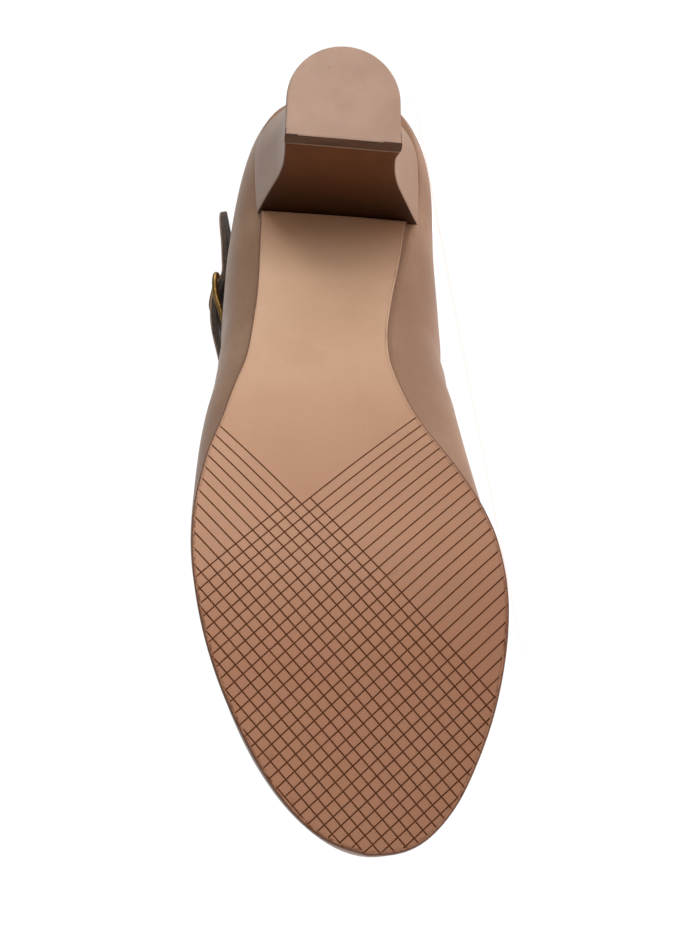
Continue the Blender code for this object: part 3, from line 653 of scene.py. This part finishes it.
def make_outsole():
    edge = np.array(SOLE_EDGE)
    lateral = spline(edge[:, :2])
    medial = spline(edge[:, 2:])
    u = 1 - (1 - np.linspace(0, 1, 110)) ** 1.25
    a, b = lateral(u), medial(u)
    a[0, 0], b[0, 0] = [BREAST_SKEW * p[0, 1] + BREAST_X + GAP for p in (a, b)]
    a[-1] = b[-1] = edge[-1, :2]
    loop = np.vstack([a, b[-2::-1]])
    loop[:, 0] = unrolled(loop[:, 0])
    bpy.ops.mesh.primitive_circle_add(vertices=len(loop), radius=0.1, fill_type="NGON")
    sole = bpy.context.object
    sole.name = "outsole_leather"
    flat = np.column_stack([loop, np.zeros(len(loop))]) * MM
    sole.data.vertices.foreach_set("co", flat.ravel())
    edit_all(sole)
    bpy.ops.mesh.extrude_region_move(TRANSFORM_OT_translate={"value": (0, 0, SOLE * MM)})
    bpy.ops.object.mode_set(mode="OBJECT")
    face_outwards(sole)
    round_edges(sole, 50)

    def under(centre, facing):
        return facing[:, 2] < -0.9

    def everything(centre, facing):
        return np.ones(len(centre), bool)

    faces = sole.data.polygons
    edit_some(sole, "FACE", faces, under(None, read(faces, "normal")))
    bpy.ops.mesh.inset(thickness=0.7 * MM, depth=0)
    bpy.ops.object.mode_set(mode="OBJECT")
    for s in np.arange(52.0, 250.0, 3.5):
        cut_faces(sole, everything, (s, 0), (1, 0))
    for y in np.arange(-20.0, 32.0, 4.0):
        cut_faces(sole, lambda c, f: under(c, f) & (c[:, 0] < WAIST_TO), (0, y), (0, 1))
    lines = []
    for pair in (TREAD_A, TREAD_B):
        p, n = groove_line(pair)
        for k in TREAD_RANGE:
            for side in (-TREAD_HALF, 0, TREAD_HALF):
                lines.append((p + n * (k * TREAD_STEP + side), n))
    for q, n in lines:
        def crossed(centre, facing):
            near = np.abs((centre[:, :2] - q) @ n) < 45
            return under(centre, facing) & near & (centre[:, 0] > TREAD_FROM)
        cut_faces(sole, crossed, q, n)
    p = read(sole.data.vertices, "co") / MM
    below = p[:, 2] < 0.01
    tread = np.where(below, tread_depth(p[:, 0], p[:, 1]), 0)
    x = rolled(p[:, 0])
    lat = np.interp(x, a[:, 0], a[:, 1])
    med = np.interp(x, b[:, 0], b[:, 1])
    share = ((p[:, 1] - med) / np.maximum(lat - med, 1)).clip(0, 1)
    crown = WAIST_CROWN * (4 * share * (1 - share)) * (1 - smoothstep(100, 135, x))
    crown = np.where(below, crown, 0)
    lay(sole.data, np.column_stack([x, p[:, 1], underside(x) + p[:, 2] + tread * TREAD_DEPTH - crown]))
    mark(sole, "groove", tread)
    mark(sole, "edge", np.where(below, 0.0, 1.0))
    face_outwards(sole)
    smooth(sole, 25)
    return sole


def make_heel():
    """Leather-covered block: flanks that sweep in to the lift, flat breast."""
    base = LIFT + 0.1
    rows = []
    for v in np.linspace(0, 1, 64):
        plan = heel_ring(v)
        top = feather_z(plan[:, 0]) - GAP
        rows.append(np.column_stack([plan, base + (top - base) * v]))
    heel = tube_piece("heel_cover", np.array(rows))
    round_edges(heel, 48)
    centre, facing = face_points(heel)
    line = BREAST_X + BREAST_SKEW * centre[:, 1]
    paint_faces(heel, ((facing[:, 0] > 0.8) & (centre[:, 0] > line - 0.6)).astype(int))
    smooth(heel, 40)
    return heel


# side of the lift: height, how far it stands back
LIFT_SIDE = [
    (0, 0.75), (0.06, 0.4), (0.25, 0.12), (0.55, 0), (1.5, -0.05), (3.2, -0.02), (4.5, 0.05),
    (LIFT, 0.3),
]


def make_lift():
    plan = heel_ring(0.0)
    middle = np.array([36.0, 1.0])
    out = unit(plan - middle)
    rows = []
    for z, inset in LIFT_SIDE:
        rows.append(np.column_stack([plan - out * inset, np.full(len(plan), z)]))
    lift = tube_piece("top_lift_rubber", np.array(rows))
    paint_faces(lift, (face_points(lift)[1][:, 2] > -0.75).astype(int))
    smooth(lift, 30)
    return lift


# creases: middle, direction, half width, height (below 0 a trough), half length
CREASES = [
    ((92.0, -33.0, 56.0), (0.25, 0.0, 1.0), 5.0, -0.55, 13.0),
    ((103.0, -33.0, 50.0), (0.35, 0.0, 1.0), 6.0, -0.45, 12.0),
    ((84.0, 33.0, 58.0), (0.2, 0.0, 1.0), 6.0, -0.4, 13.0),
    ((112.0, 36.0, 44.0), (0.5, 0.0, 1.0), 7.0, -0.35, 10.0),
]


def soft_creases(points, normal):
    """Shallow troughs and ridges where the leather of the waist gives."""
    move = np.zeros(points.shape[:-1])
    for centre, along, wide, deep, run in CREASES:
        d = points - np.array(centre)
        along = unit(np.array(along))
        t = d @ along
        off = d - t[..., None] * along
        r = np.linalg.norm(off, axis=-1)
        side = off[..., 0]
        trough = (1 - 0.9 * (side / wide) ** 2) * np.exp(-(r / wide) ** 2 * 0.7)
        move += deep * np.exp(-(t / run) ** 2) * trough
    return points + normal * move[..., None]


def upper_faces():
    outer, feather, n3 = upper_lines()
    n = normals(outer)
    middle = outer.mean(axis=(0, 1))
    if ((outer - middle) * n).sum() < 0:
        n = -n
    return soft_creases(outer, n), feather, n3, n


def make_upper(outer, feather, n3, n):
    """Outer leather folded over the topline on to the lining, with its edge lasted under."""
    inner = outer - n * WALL
    up = np.array([0, 0, 1.0])
    inner[:, 0] = feather - n3 * WALL + up * WALL
    turned = []
    for reach in (MARGIN, MARGIN * 0.66, MARGIN * 0.33, 1.2, 0.45):
        p = feather - n3 * reach
        p[:, 2] = feather_z(p[:, 0]) + (0.0 if reach > 1 else 0.02)
        turned.append(p)
    top = (outer[:, -1] + inner[:, -1]) / 2
    rise = unit(outer[:, -1] - outer[:, -2])
    roll = []
    for deg in (25, 50, 75, 100, 125, 150):
        c, s = math.cos(math.radians(deg)), math.sin(math.radians(deg))
        roll.append(top + n[:, -1] * (WALL / 2 * c) + rise * (0.75 * WALL / 2 * s))
    first = outer.copy()
    first[:, 0] = feather + up * 0.35
    columns = [p[:, None] for p in turned] + [first] + [p[:, None] for p in roll] + [inner[:, ::-1]]
    columns += [(p + up * WALL)[:, None] for p in turned[2::-1]]
    rows = np.concatenate(columns, axis=1)
    inside = np.zeros(rows.shape[:2])
    start = len(turned) + outer.shape[1] + len(roll)
    inside[:, start + 9:] = 1
    upper = sheet_piece("upper_leather", wrapped(rows))
    mark(upper, "lining", wrapped(inside))
    weld(upper)
    corner = np.zeros(len(upper.data.vertices))
    upper.data.attributes["lining"].data.foreach_get("value", corner)
    inner_faces = [np.mean([corner[v] for v in f.vertices]) > 0.6 for f in upper.data.polygons]
    paint_faces(upper, inner_faces)
    smooth(upper, 50)
    return upper


def between(at, run, rows):
    """Values of rows of three at one place of their run."""
    return np.array([np.interp(at, run, rows[:, k]) for k in range(3)])


def line_on_upper(outer, n, below):
    """Points and normals on the outer face a given way below the topline."""
    points, out = [], []
    for i in range(outer.shape[0]):
        col = outer[i, ::-1]
        run = run_along(col)
        points.append(between(below, run, col))
        j = int(np.argmin(np.abs(run - below)))
        out.append(n[i, outer.shape[1] - 1 - j])
    return np.array(points), np.array(out)


# thread: way from stitch to stitch, length of one, and how far the rows run from the topline
# and from the strap's edge
STITCH_PITCH = 2.5
STITCH_LENGTH = 1.75
TOPLINE_INSET = 2.3
STRAP_INSET = 1.7


def stitches(name, points, out, radius, finish, closed=False, sink=0.35):
    """A row of thread stitches along shoe points, one made and the rest copied."""
    if closed:
        points = np.vstack([points, points[:1]])
        out = np.vstack([out, out[:1]])
    run = run_along(points)
    count = int(run[-1] / STITCH_PITCH)
    at = (np.arange(count) + 0.5) * run[-1] / count
    bpy.ops.object.select_all(action="DESELECT")
    bpy.ops.mesh.primitive_uv_sphere_add(segments=8, ring_count=6, radius=1.0)
    thread = bpy.context.object
    thread.data.transform(Matrix.Diagonal((radius, radius, STITCH_LENGTH / 2, 1)))
    made = []
    for s in at:
        p = between(s, run, points)
        d = unit(between(min(s + 0.4, run[-1]), run, points) - between(max(s - 0.4, 0), run, points))
        m = between(s, run, out)
        m = unit(m - d * m.dot(d))
        side = np.cross(m, d)
        turn = Matrix(np.array([m, side, d]).T.tolist()).to_4x4()
        turn.translation = Vector(p + m * (radius * (1 - sink) - radius * 0.3))
        mesh = thread.data.copy()
        mesh.transform(turn)
        lay(mesh, read(mesh.vertices, "co"))
        one = bpy.data.objects.new(name, mesh)
        bpy.context.collection.objects.link(one)
        made.append(one)
    bpy.data.objects.remove(thread, do_unlink=True)
    row = joined(name, made)
    finish_with(row, finish)
    smooth(row, 60)
    return row


def strip_rows(path, samples, section):
    """Rows for a band along centre, normal and width; section(width) gives its outline."""
    rows = np.array(path)
    r = spline(rows, keys=run_along(rows[:, :3]))(samples)
    p = r[:, :3]
    t = unit(np.gradient(p, axis=0))
    n = r[:, 3:6]
    n = unit(n - t * (n * t).sum(1, keepdims=True))
    c = np.cross(t, n)
    band = np.array([[p[i] + c[i] * a + n[i] * b for a, b in section(r[i, 6])] for i in range(len(p))])
    return band, p, n, c, r[:, 6]


def band_section(thick, corner):
    """Outline of a leather band with rounded edges, from its inner face round to its outer."""
    def outline(width):
        half, h = width / 2, thick / 2
        r = min(corner, half * 0.6, h * 0.98)
        points = []
        for sx, sy, first in ((-1, -1, 180), (1, -1, 270), (1, 1, 0), (-1, 1, 90)):
            for k in range(5):
                ang = math.radians(first + k * 22.5)
                points.append((sx * (half - r) + r * math.cos(ang), sy * (h - r) + r * math.sin(ang)))
            if (sx, sy) in ((-1, -1), (1, 1)):
                for share in (0.2, 0.4, 0.6, 0.8):
                    x = sx * (half - r) * (1 - 2 * share)
                    points.append((x, sy * h))
        return points
    return outline


def make_strap():
    samples = np.concatenate([np.linspace(0, 0.93, 240), np.linspace(0.932, 1, 46)])
    band, *line = strip_rows(STRAP, samples, band_section(STRAP_THICK, 0.55))
    return (tube_piece("strap_leather", band), *line)


def punch(piece, places, radius, depth):
    """Punched round holes: places are shoe points with the direction of the punch."""
    cutters = []
    for centre, direction in places:
        bpy.ops.object.select_all(action="DESELECT")
        bpy.ops.mesh.primitive_cylinder_add(vertices=20, radius=radius, depth=depth)
        tool = bpy.context.object
        turn = Vector(direction).to_track_quat("Z", "Y").to_matrix().to_4x4()
        tool.data.transform(Matrix.Translation(Vector(centre)) @ turn)
        lay(tool.data, read(tool.data.vertices, "co"))
        cutters.append(tool)
    tools = joined("punch", cutters)
    modify(piece, "BOOLEAN", operation="DIFFERENCE", solver="EXACT", object=tools)
    bpy.data.objects.remove(tools, do_unlink=True)


def wire_rows(points, radius, closed, count=16):
    """Rows of a round wire along shoe points; radius is one number or one per point."""
    p = np.asarray(points, float)
    r = np.broadcast_to(np.asarray(radius, float), (len(p),))
    if closed:
        t = np.roll(p, -1, axis=0) - np.roll(p, 1, axis=0)
    else:
        t = np.gradient(p, axis=0)
    t = unit(t)
    rows = []
    side = np.cross(t[0], [0.1, 1.0, 0.3])
    for i in range(len(p)):
        side = unit(side - t[i] * side.dot(t[i]))
        other = np.cross(t[i], side)
        ang = np.linspace(0, 2 * math.pi, count, endpoint=False)
        rows.append(p[i] + r[i] * (np.cos(ang)[:, None] * side + np.sin(ang)[:, None] * other))
    return np.array(rows)


def make_buckle():
    centre = np.array(BUCKLE)
    along, out, across = buckle_axes()
    corner = BUCKLE_CORNER
    points = []
    for sa, sc, first in ((1, 1, 0), (-1, 1, 90), (-1, -1, 180), (1, -1, 270)):
        for k in range(13):
            ang = math.radians(first + k * 7.5)
            points.append((sa * (BUCKLE_LEN - corner) + corner * math.cos(ang),
                           sc * (BUCKLE_WIDE - corner) + corner * math.sin(ang)))
    points = np.array(points + points[:1])
    run = run_along(points)
    at = np.linspace(0, run[-1], 132, endpoint=False)
    a, c = np.interp(at, run, points[:, 0]), np.interp(at, run, points[:, 1])
    lift = pchip(RAIL)(a)
    path = centre + np.outer(a, along) + np.outer(c, across) + np.outer(lift, out)
    buckle = tube_piece("buckle_wire", wire_rows(path, BAR_R, True), capped=False)
    smooth(buckle, 60)
    return buckle


def make_prong():
    centre = np.array(BUCKLE)
    along, out = buckle_axes()[:2]
    ab = spline(PRONG)(np.linspace(0, 1, 48))
    path = centre + np.outer(ab[:, 0], along) + np.outer(ab[:, 1], out)
    taper = PRONG_R * (1 - 0.35 * np.linspace(0, 1, 48) ** 2)
    taper[-3:] = taper[-3:] * [0.9, 0.72, 0.4]
    prong = tube_piece("buckle_tongue", wire_rows(path, taper, False, 14))
    smooth(prong, 50)
    return prong


def tab_path():
    centre = np.array(BUCKLE)
    along, out, across = buckle_axes()
    bar = centre + along * BUCKLE_LEN + out * RAIL[-1][1]
    radius = BAR_R + 0.2 + TAB_THICK / 2
    root = np.array(TAB_ROOT)
    away = unit(root - bar)
    square = unit(away - across * away.dot(across))
    side = np.cross(across, square)
    side = side * (1 if side.dot(out) > 0 else -1)
    reach = np.linalg.norm(root - bar)
    half = TAB_THICK / 2 + 0.06
    tail = [(reach, away, half), (reach * 0.7, away, half), (reach * 0.42, away, half + 0.1),
            (3.0, square, 1.25)]
    rows = []
    for a, d, b in tail:
        rows.append((bar + d * a + side * b, side))
    for deg in (90, 60, 30, 0, -30, -60, -90):
        d = -square * math.cos(math.radians(deg)) + side * math.sin(math.radians(deg))
        rows.append((bar + d * radius, d))
    for a, d, b in tail[::-1]:
        rows.append((bar + d * a - side * b, -side))
    return [list(p) + list(n) + [TAB_WIDE] for p, n in rows]


def make_tab():
    band = strip_rows(tab_path(), np.linspace(0, 1, 120), band_section(TAB_THICK, 0.3))[0]
    tab = tube_piece("buckle_tab_leather", band)
    smooth(tab, 40)
    return tab


# pale bloom of the leather at grazing angles
BLOOM = shade(226, 200, 190)


def upper_finish():
    """Smooth satin leather: fine grain, faint mottling, a pale bloom at grazing angles."""
    f = Finish("taupe_upper_leather", Roughness=0.46, Sheen_Weight=0.1, Sheen_Roughness=0.35,
               Sheen_Tint=BLOOM, Coat_Weight=0.06, Coat_Roughness=0.3, Specular_IOR_Level=0.28)
    cloud = f.noise(0.035, 3)
    fine = f.noise(0.6, 4, 0.6)
    base = f.mix(cloud.step(0.35, 0.68), shade(150, 114, 88), shade(164, 129, 102))
    base = f.mix(fine.step(0.45, 0.75) * 0.35, base, shade(131, 102, 84))
    sole_side = f.z.step(6.0, -2.0)
    base = f.mix(sole_side * 0.2, base, shade(112, 80, 62))
    rough = 0.38 + f.noise(0.09, 3) * 0.14
    return f.set(Base_Color=base, Roughness=rough, Normal=f.bump(f.grain(fine), 0.08, 0.35))


def lining_finish():
    f = Finish("cream_lining", Roughness=0.72, Sheen_Weight=0.2)
    cloud = f.noise(0.06, 4)
    fine = f.noise(1.4, 4)
    base = f.mix(cloud.step(0.3, 0.7), shade(196, 170, 142), shade(212, 188, 160))
    base = f.mix(fine.step(0.5, 0.8) * 0.3, base, shade(170, 142, 114))
    return f.set(Base_Color=base, Normal=f.bump(fine + f.noise(4.0, 2) * 0.5, 0.1, 0.4))


def sole_finish():
    """Finished sole leather: satin, finely speckled, redder towards the toe, dark in the grooves, and
    darker under the heel's breast, partly browner leather and partly painted shade.
    """
    f = Finish("grooved_sole_leather", Roughness=0.48, Coat_Weight=0.06, Coat_Roughness=0.3,
               Specular_IOR_Level=0.3)
    cloud = f.noise(0.05, 4)
    speck = f.noise(1.7, 3, 0.7)
    dots = f.cells(0.9)
    toe = f.x.step(80.0, 152.0)
    base = f.mix(toe, shade(211, 173, 143), shade(180, 134, 105))
    base = f.mix(f.x.step(155.0, 195.0) * 0.85, base, shade(160, 108, 78))
    # painted shade: the heel's shadow on the waist, darkest at the breast, with some browner leather in
    # it
    base = f.mix(f.x.step(78.0, 50.0) * 0.75, base, shade(122, 76, 42))
    base = f.mix(cloud.step(0.35, 0.7) * 0.3, base, f.mix(toe, shade(190, 150, 119), shade(166, 120, 92)))
    base = f.mix(speck.step(0.55, 0.8) * 0.35, base, shade(150, 108, 80))
    base = f.mix(dots.step(0.12, 0.02) * 0.35, base, shade(128, 88, 62))
    base = f.mix(f.mark("edge").step(0.15, 1.0) * 0.85, base, shade(98, 58, 38))
    base = f.mix(f.mark("groove").step(0.05, 0.8), base, shade(120, 72, 44))
    rough = 0.42 + speck * 0.14
    height = speck * 0.5 + f.noise(0.5, 4) * 0.6
    return f.set(Base_Color=base, Roughness=rough, Normal=f.bump(height, 0.06, 0.4))


def heel_finish():
    """The upper's leather drawn round the heel block."""
    f = Finish("taupe_heel_leather", Roughness=0.44, Sheen_Weight=0.05, Sheen_Roughness=0.35,
               Sheen_Tint=BLOOM, Coat_Weight=0.06, Coat_Roughness=0.28, Specular_IOR_Level=0.28)
    cloud = f.noise(0.04, 3, 0.5, (1.0, 1.0, 0.4))
    fine = f.noise(0.6, 4, 0.6)
    base = f.mix(cloud.step(0.35, 0.68), shade(150, 114, 90), shade(163, 129, 103))
    base = f.mix(fine.step(0.45, 0.75) * 0.3, base, shade(130, 100, 84))
    base = f.mix(f.z.step(9.0, 4.9) * 0.35, base, shade(104, 74, 58))
    return f.set(Base_Color=base, Normal=f.bump(f.grain(fine), 0.08, 0.3))


def breast_finish():
    """Heel's flat front: dark brown leather made darker still by painted shade, which deepens towards
    where it meets the sole.
    """
    f = Finish("breast_leather_with_painted_shade", Roughness=0.5, Specular_IOR_Level=0.18)
    # painted shade: the dark brown stands partly for the leather's dye and partly for the shade the
    # breast lies in, darkest where it meets the sole
    painted_shade_to_sole = f.z.step(8.0, 46.0)
    base = f.mix(painted_shade_to_sole, shade(100, 58, 32), shade(46, 22, 5))
    base = f.mix(f.noise(0.12, 4).step(0.4, 0.7) * 0.35, base, shade(76, 40, 18))
    grain = f.noise(0.7, 4) + f.noise(2.4, 3) * 0.6
    return f.set(Base_Color=base, Normal=f.bump(grain, 0.08, 0.4))


def lift_face_finish():
    """Walked-on face of the top lift: matt tan with a few specks and scratches."""
    f = Finish("tan_lift_face", Roughness=0.6)
    cloud = f.noise(0.08, 4)
    speck = f.noise(2.2, 3, 0.7)
    base = f.mix(cloud.step(0.3, 0.7), shade(172, 139, 119), shade(182, 149, 129))
    base = f.mix(speck.step(0.6, 0.82) * 0.45, base, shade(150, 112, 88))
    scratch = f.noise(0.4, 2, 0.5, (0.4, 2.2, 1.0)).step(0.72, 0.8)
    base = f.mix(scratch * 0.35, base, shade(140, 102, 78))
    base = f.mix(f.cells(0.2).step(0.08, 0.03) * 0.45, base, shade(120, 88, 70))
    height = speck * 0.5 - scratch * 0.8
    return f.set(Base_Color=base, Normal=f.bump(height, 0.08, 0.5))


def lift_side_finish():
    f = Finish("brown_lift_side", Roughness=0.5, Coat_Weight=0.1)
    layers = f.noise(0.5, 3, 0.5, (0.2, 0.2, 3.0))
    base = f.mix(layers.step(0.35, 0.7), shade(70, 42, 28), shade(92, 58, 40))
    return f.set(Base_Color=base, Normal=f.bump(layers + f.noise(1.6, 3), 0.1, 0.4))


def strap_finish():
    f = Finish("taupe_strap_leather", Roughness=0.42, Sheen_Weight=0.25, Coat_Weight=0.25,
               Coat_Roughness=0.28)
    fine = f.noise(0.6, 4, 0.6)
    base = f.mix(f.noise(0.06, 3).step(0.35, 0.68), shade(142, 113, 96), shade(156, 127, 109))
    base = f.mix(fine.step(0.45, 0.75) * 0.35, base, shade(128, 99, 82))
    return f.set(Base_Color=base, Normal=f.bump(f.grain(fine), 0.08, 0.35))


def strap_back_finish():
    """Fibrous flesh side and cut edge of the strap, in dark grey-brown."""
    f = Finish("dark_strap_back", Roughness=0.8, Sheen_Weight=0.15)
    fibre = f.noise(0.9, 5, 0.7, (1.0, 1.0, 2.2))
    base = f.mix(fibre.step(0.35, 0.7), shade(58, 47, 40), shade(96, 80, 68))
    base = f.mix(f.noise(3.2, 2).step(0.62, 0.8) * 0.5, base, shade(140, 120, 104))
    return f.set(Base_Color=base, Normal=f.bump(fibre + f.noise(3.0, 3) * 0.6, 0.18, 0.6))


def brass_finish():
    """Old gold plating, softened and darkened in patches."""
    f = Finish("old_gold", Metallic=1.0, Roughness=0.3)
    worn = f.noise(0.5, 4)
    base = f.mix(worn.step(0.35, 0.7), shade(150, 116, 62), shade(202, 166, 102))
    base = f.mix(f.noise(1.8, 3).step(0.6, 0.5) * 0.4, base, shade(94, 68, 34))
    return f.set(Base_Color=base, Roughness=0.26 + worn * 0.2, Normal=f.bump(f.noise(2.2, 3), 0.03, 0.4))


def tab_finish():
    f = Finish("dark_tab_leather", Roughness=0.5, Sheen_Weight=0.2)
    fine = f.noise(0.7, 4)
    base = f.mix(fine.step(0.35, 0.7), shade(78, 64, 44), shade(106, 88, 62))
    return f.set(Base_Color=base, Normal=f.bump(fine + f.noise(2.4, 3), 0.1, 0.4))


def thread_finish():
    f = Finish("taupe_thread", Roughness=0.6, Sheen_Weight=0.3)
    twist = f.noise(2.4, 3)
    base = f.mix(twist.step(0.3, 0.7), shade(138, 110, 92), shade(170, 142, 122))
    return f.set(Base_Color=base, Normal=f.bump(twist, 0.05, 0.5))


def insole_finish():
    f = Finish("tan_sock_leather", Roughness=0.6, Sheen_Weight=0.15)
    fine = f.noise(0.8, 4)
    base = f.mix(f.noise(0.05, 3).step(0.3, 0.7), shade(192, 160, 130), shade(208, 178, 148))
    base = f.mix(fine.step(0.5, 0.8) * 0.3, base, shade(160, 126, 98))
    return f.set(Base_Color=base, Normal=f.bump(fine + f.cells(1.4) * 0.4, 0.08, 0.4))


def floor_finish():
    """White floor that glows, a painted light: dimmer near the shoe, brighter away from it, and lighting
    the shoe from below.
    """
    f = Finish("white_floor", Roughness=0.9, Emission_Strength=1.0)
    base = f.mix(f.noise(0.002, 2), shade(250, 250, 250), shade(252, 252, 252))
    flat = f.node("ShaderNodeTexCoord", {}, {}, "Object")
    away = f.node("ShaderNodeVectorMath", {"operation": "LENGTH"}, {0: flat}, "Value")
    # painted light: the floor's own glow, weaker near the shoe
    glow = f.mix(away.step(0.12, 0.5), (0.66, 0.66, 0.66, 1), (0.88, 0.88, 0.88, 1))
    return f.set(Base_Color=base, Emission_Color=glow)


# pieces
upper_leather, lining = upper_finish(), lining_finish()
thread = thread_finish()

outsole = make_outsole()
finish_with(outsole, sole_finish())
place(outsole, "sole_leather", "outsole")

heel = make_heel()
finish_with(heel, heel_finish(), breast_finish())
place(heel, "heel_wrap", "heel")

lift = make_lift()
finish_with(lift, lift_face_finish(), lift_side_finish())
place(lift, "lift_rubber", "top_lift")

outer, feather, n3, face_out = upper_faces()
upper = make_upper(outer, feather, n3, face_out)
finish_with(upper, upper_leather, lining)
place(upper, "upper_leather", "upper")

line, out = line_on_upper(outer, face_out, TOPLINE_INSET)
seam = stitches("topline_stitches", line, out, 0.26, thread, closed=True)
place(seam, "upper_leather")

strap, band_mid, band_out, band_across, band_wide = make_strap()
along_b, out_b = buckle_axes()[:2]
first, second = [np.array(BUCKLE) + along_b * a + out_b * b for a, b in PRONG[:2]]
holes = [((first + second) / 2, second - first)]
run = run_along(band_mid)
inside_hole = run[int(np.argmin(np.linalg.norm(band_mid - holes[0][0], axis=1)))]
for k in (-1, 1, 2, 3, 4):
    i = int(np.argmin(np.abs(run - inside_hole - HOLE_STEP * k)))
    holes.append((band_mid[i], band_out[i]))
punch(strap, holes, HOLE_R, 9.0)
middle, facing = face_points(strap)
nearest = np.array([int(np.argmin(((band_mid - m) ** 2).sum(1))) for m in middle])
height = ((middle - band_mid[nearest]) * band_out[nearest]).sum(1)
paint_faces(strap, (height < STRAP_THICK / 2 - GRAIN_SIDE).astype(int))
finish_with(strap, strap_finish(), strap_back_finish())
smooth(strap, 40)
place(strap, "strap_leather", "strap")

sewn = []
for side in (-1, 1):
    inset = np.maximum(band_wide / 2 - STRAP_INSET, 0.2)[:, None]
    points = band_mid + band_across * inset * side + band_out * (STRAP_THICK / 2)
    keep = slice(6, int(len(points) * 0.985))
    sewn.append(stitches("strap_stitches", points[keep], band_out[keep], 0.22, thread, sink=0.85))
sewn = joined("strap_stitches", sewn)
place(sewn, "strap_leather")

buckle = make_buckle()
prong = make_prong()
for piece, node in ((buckle, "buckle_frame"), (prong, "buckle_prong")):
    finish_with(piece, brass_finish())
    place(piece, "buckle_brass", node)

tab = make_tab()
finish_with(tab, tab_finish())
place(tab, "tab_leather", "buckle_tab")

sock = insole_finish()
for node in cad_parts.values():
    if node.name == "insole":
        for hold in node.material_slots:
            hold.material = sock

# floor, light and camera
bpy.ops.object.select_all(action="DESELECT")
bpy.ops.mesh.primitive_grid_add(x_subdivisions=8, y_subdivisions=8, size=9.0, location=(0, 0, 0))
floor = bpy.context.object
floor.name = "floor"
finish_with(floor, floor_finish())


def area_light(name, at, aim, size, power, colour=(1, 1, 1)):
    bpy.ops.object.light_add(type="AREA", location=at)
    lamp = bpy.context.object
    lamp.name = name
    lamp.data.shape = "DISK"
    lamp.data.size = size
    lamp.data.energy = power
    lamp.data.color = colour
    lamp.rotation_euler = (Vector(aim) - Vector(at)).to_track_quat("-Z", "Y").to_euler()
    return lamp


key = area_light("key_light", (1.0, -0.9, 0.13), (0.02, 0.0, 0.05), 0.9, 3.5, (1.0, 0.99, 0.975))
key.data.shape = "RECTANGLE"
key.data.size_y = 0.2
area_light("fill_light", (-0.25, -1.3, 0.3), (0.0, 0.0, 0.05), 0.6, 0.5)
bpy.ops.object.light_add(type="SPOT", location=(0.12, -0.31, 0.45))
pool = bpy.context.object
pool.name = "floor_light"
pool.data.spot_size = math.radians(64)
pool.data.spot_blend = 0.8
pool.data.shadow_soft_size = 0.05
pool.data.energy = 6

# white behind the shoe, paler grey elsewhere
room = bpy.data.worlds.new("studio")
bpy.context.scene.world = room
room.use_nodes = True
nodes, links = room.node_tree.nodes, room.node_tree.links
look = nodes.new("ShaderNodeTexCoord")
facing = nodes.new("ShaderNodeVectorMath")
facing.operation = "DOT_PRODUCT"
facing.inputs[1].default_value = (0.0, 1.0, 0.0)
rise = nodes.new("ShaderNodeMapRange")
rise.interpolation_type = "SMOOTHSTEP"
for socket, number in ((1, 0.2), (2, 0.85), (3, 0.31), (4, 1.02)):
    rise.inputs[socket].default_value = number
links.new(look.outputs["Generated"], facing.inputs[0])
links.new(facing.outputs["Value"], rise.inputs[0])
links.new(rise.outputs[0], nodes["Background"].inputs[1])
nodes["Background"].inputs[0].default_value = (1, 1, 1, 1)
bpy.context.scene.view_settings.view_transform = "Standard"

# camera in the shoe's own frame: eye, direction, up; then in metres how far ahead it is aimed and
# how low it may sit, and the focal length and picture height in pixels
EYE = (271.3, 25.64, -408.47)
AXIS = (-0.30013, -0.06034, 0.95199)
SKY = (-0.9539, 0.01885, -0.29954)
AIM_AHEAD = 0.45
EYE_LOWEST = 0.0022
FOCAL, TALL = 1700, 933
SENSOR = 36
forward, sky = turn_world(AXIS).normalized(), turn_world(SKY).normalized()
eye = Vector(to_world(EYE)[0])
middle_of_view = eye + forward * AIM_AHEAD
eye.z = max(eye.z, EYE_LOWEST)
forward = (middle_of_view - eye).normalized()
right = forward.cross(sky).normalized()
sky = right.cross(forward)
bpy.ops.object.camera_add()
camera = bpy.context.object
camera.name = "camera"
camera.data.sensor_width = SENSOR
camera.data.sensor_fit = "VERTICAL"
camera.data.sensor_height = SENSOR
camera.data.lens = FOCAL / TALL * SENSOR
camera.data.clip_start = 0.001
turn = Matrix([right, sky, -forward]).transposed().to_4x4()
turn.translation = eye
camera.matrix_world = turn
bpy.context.scene.camera = camera
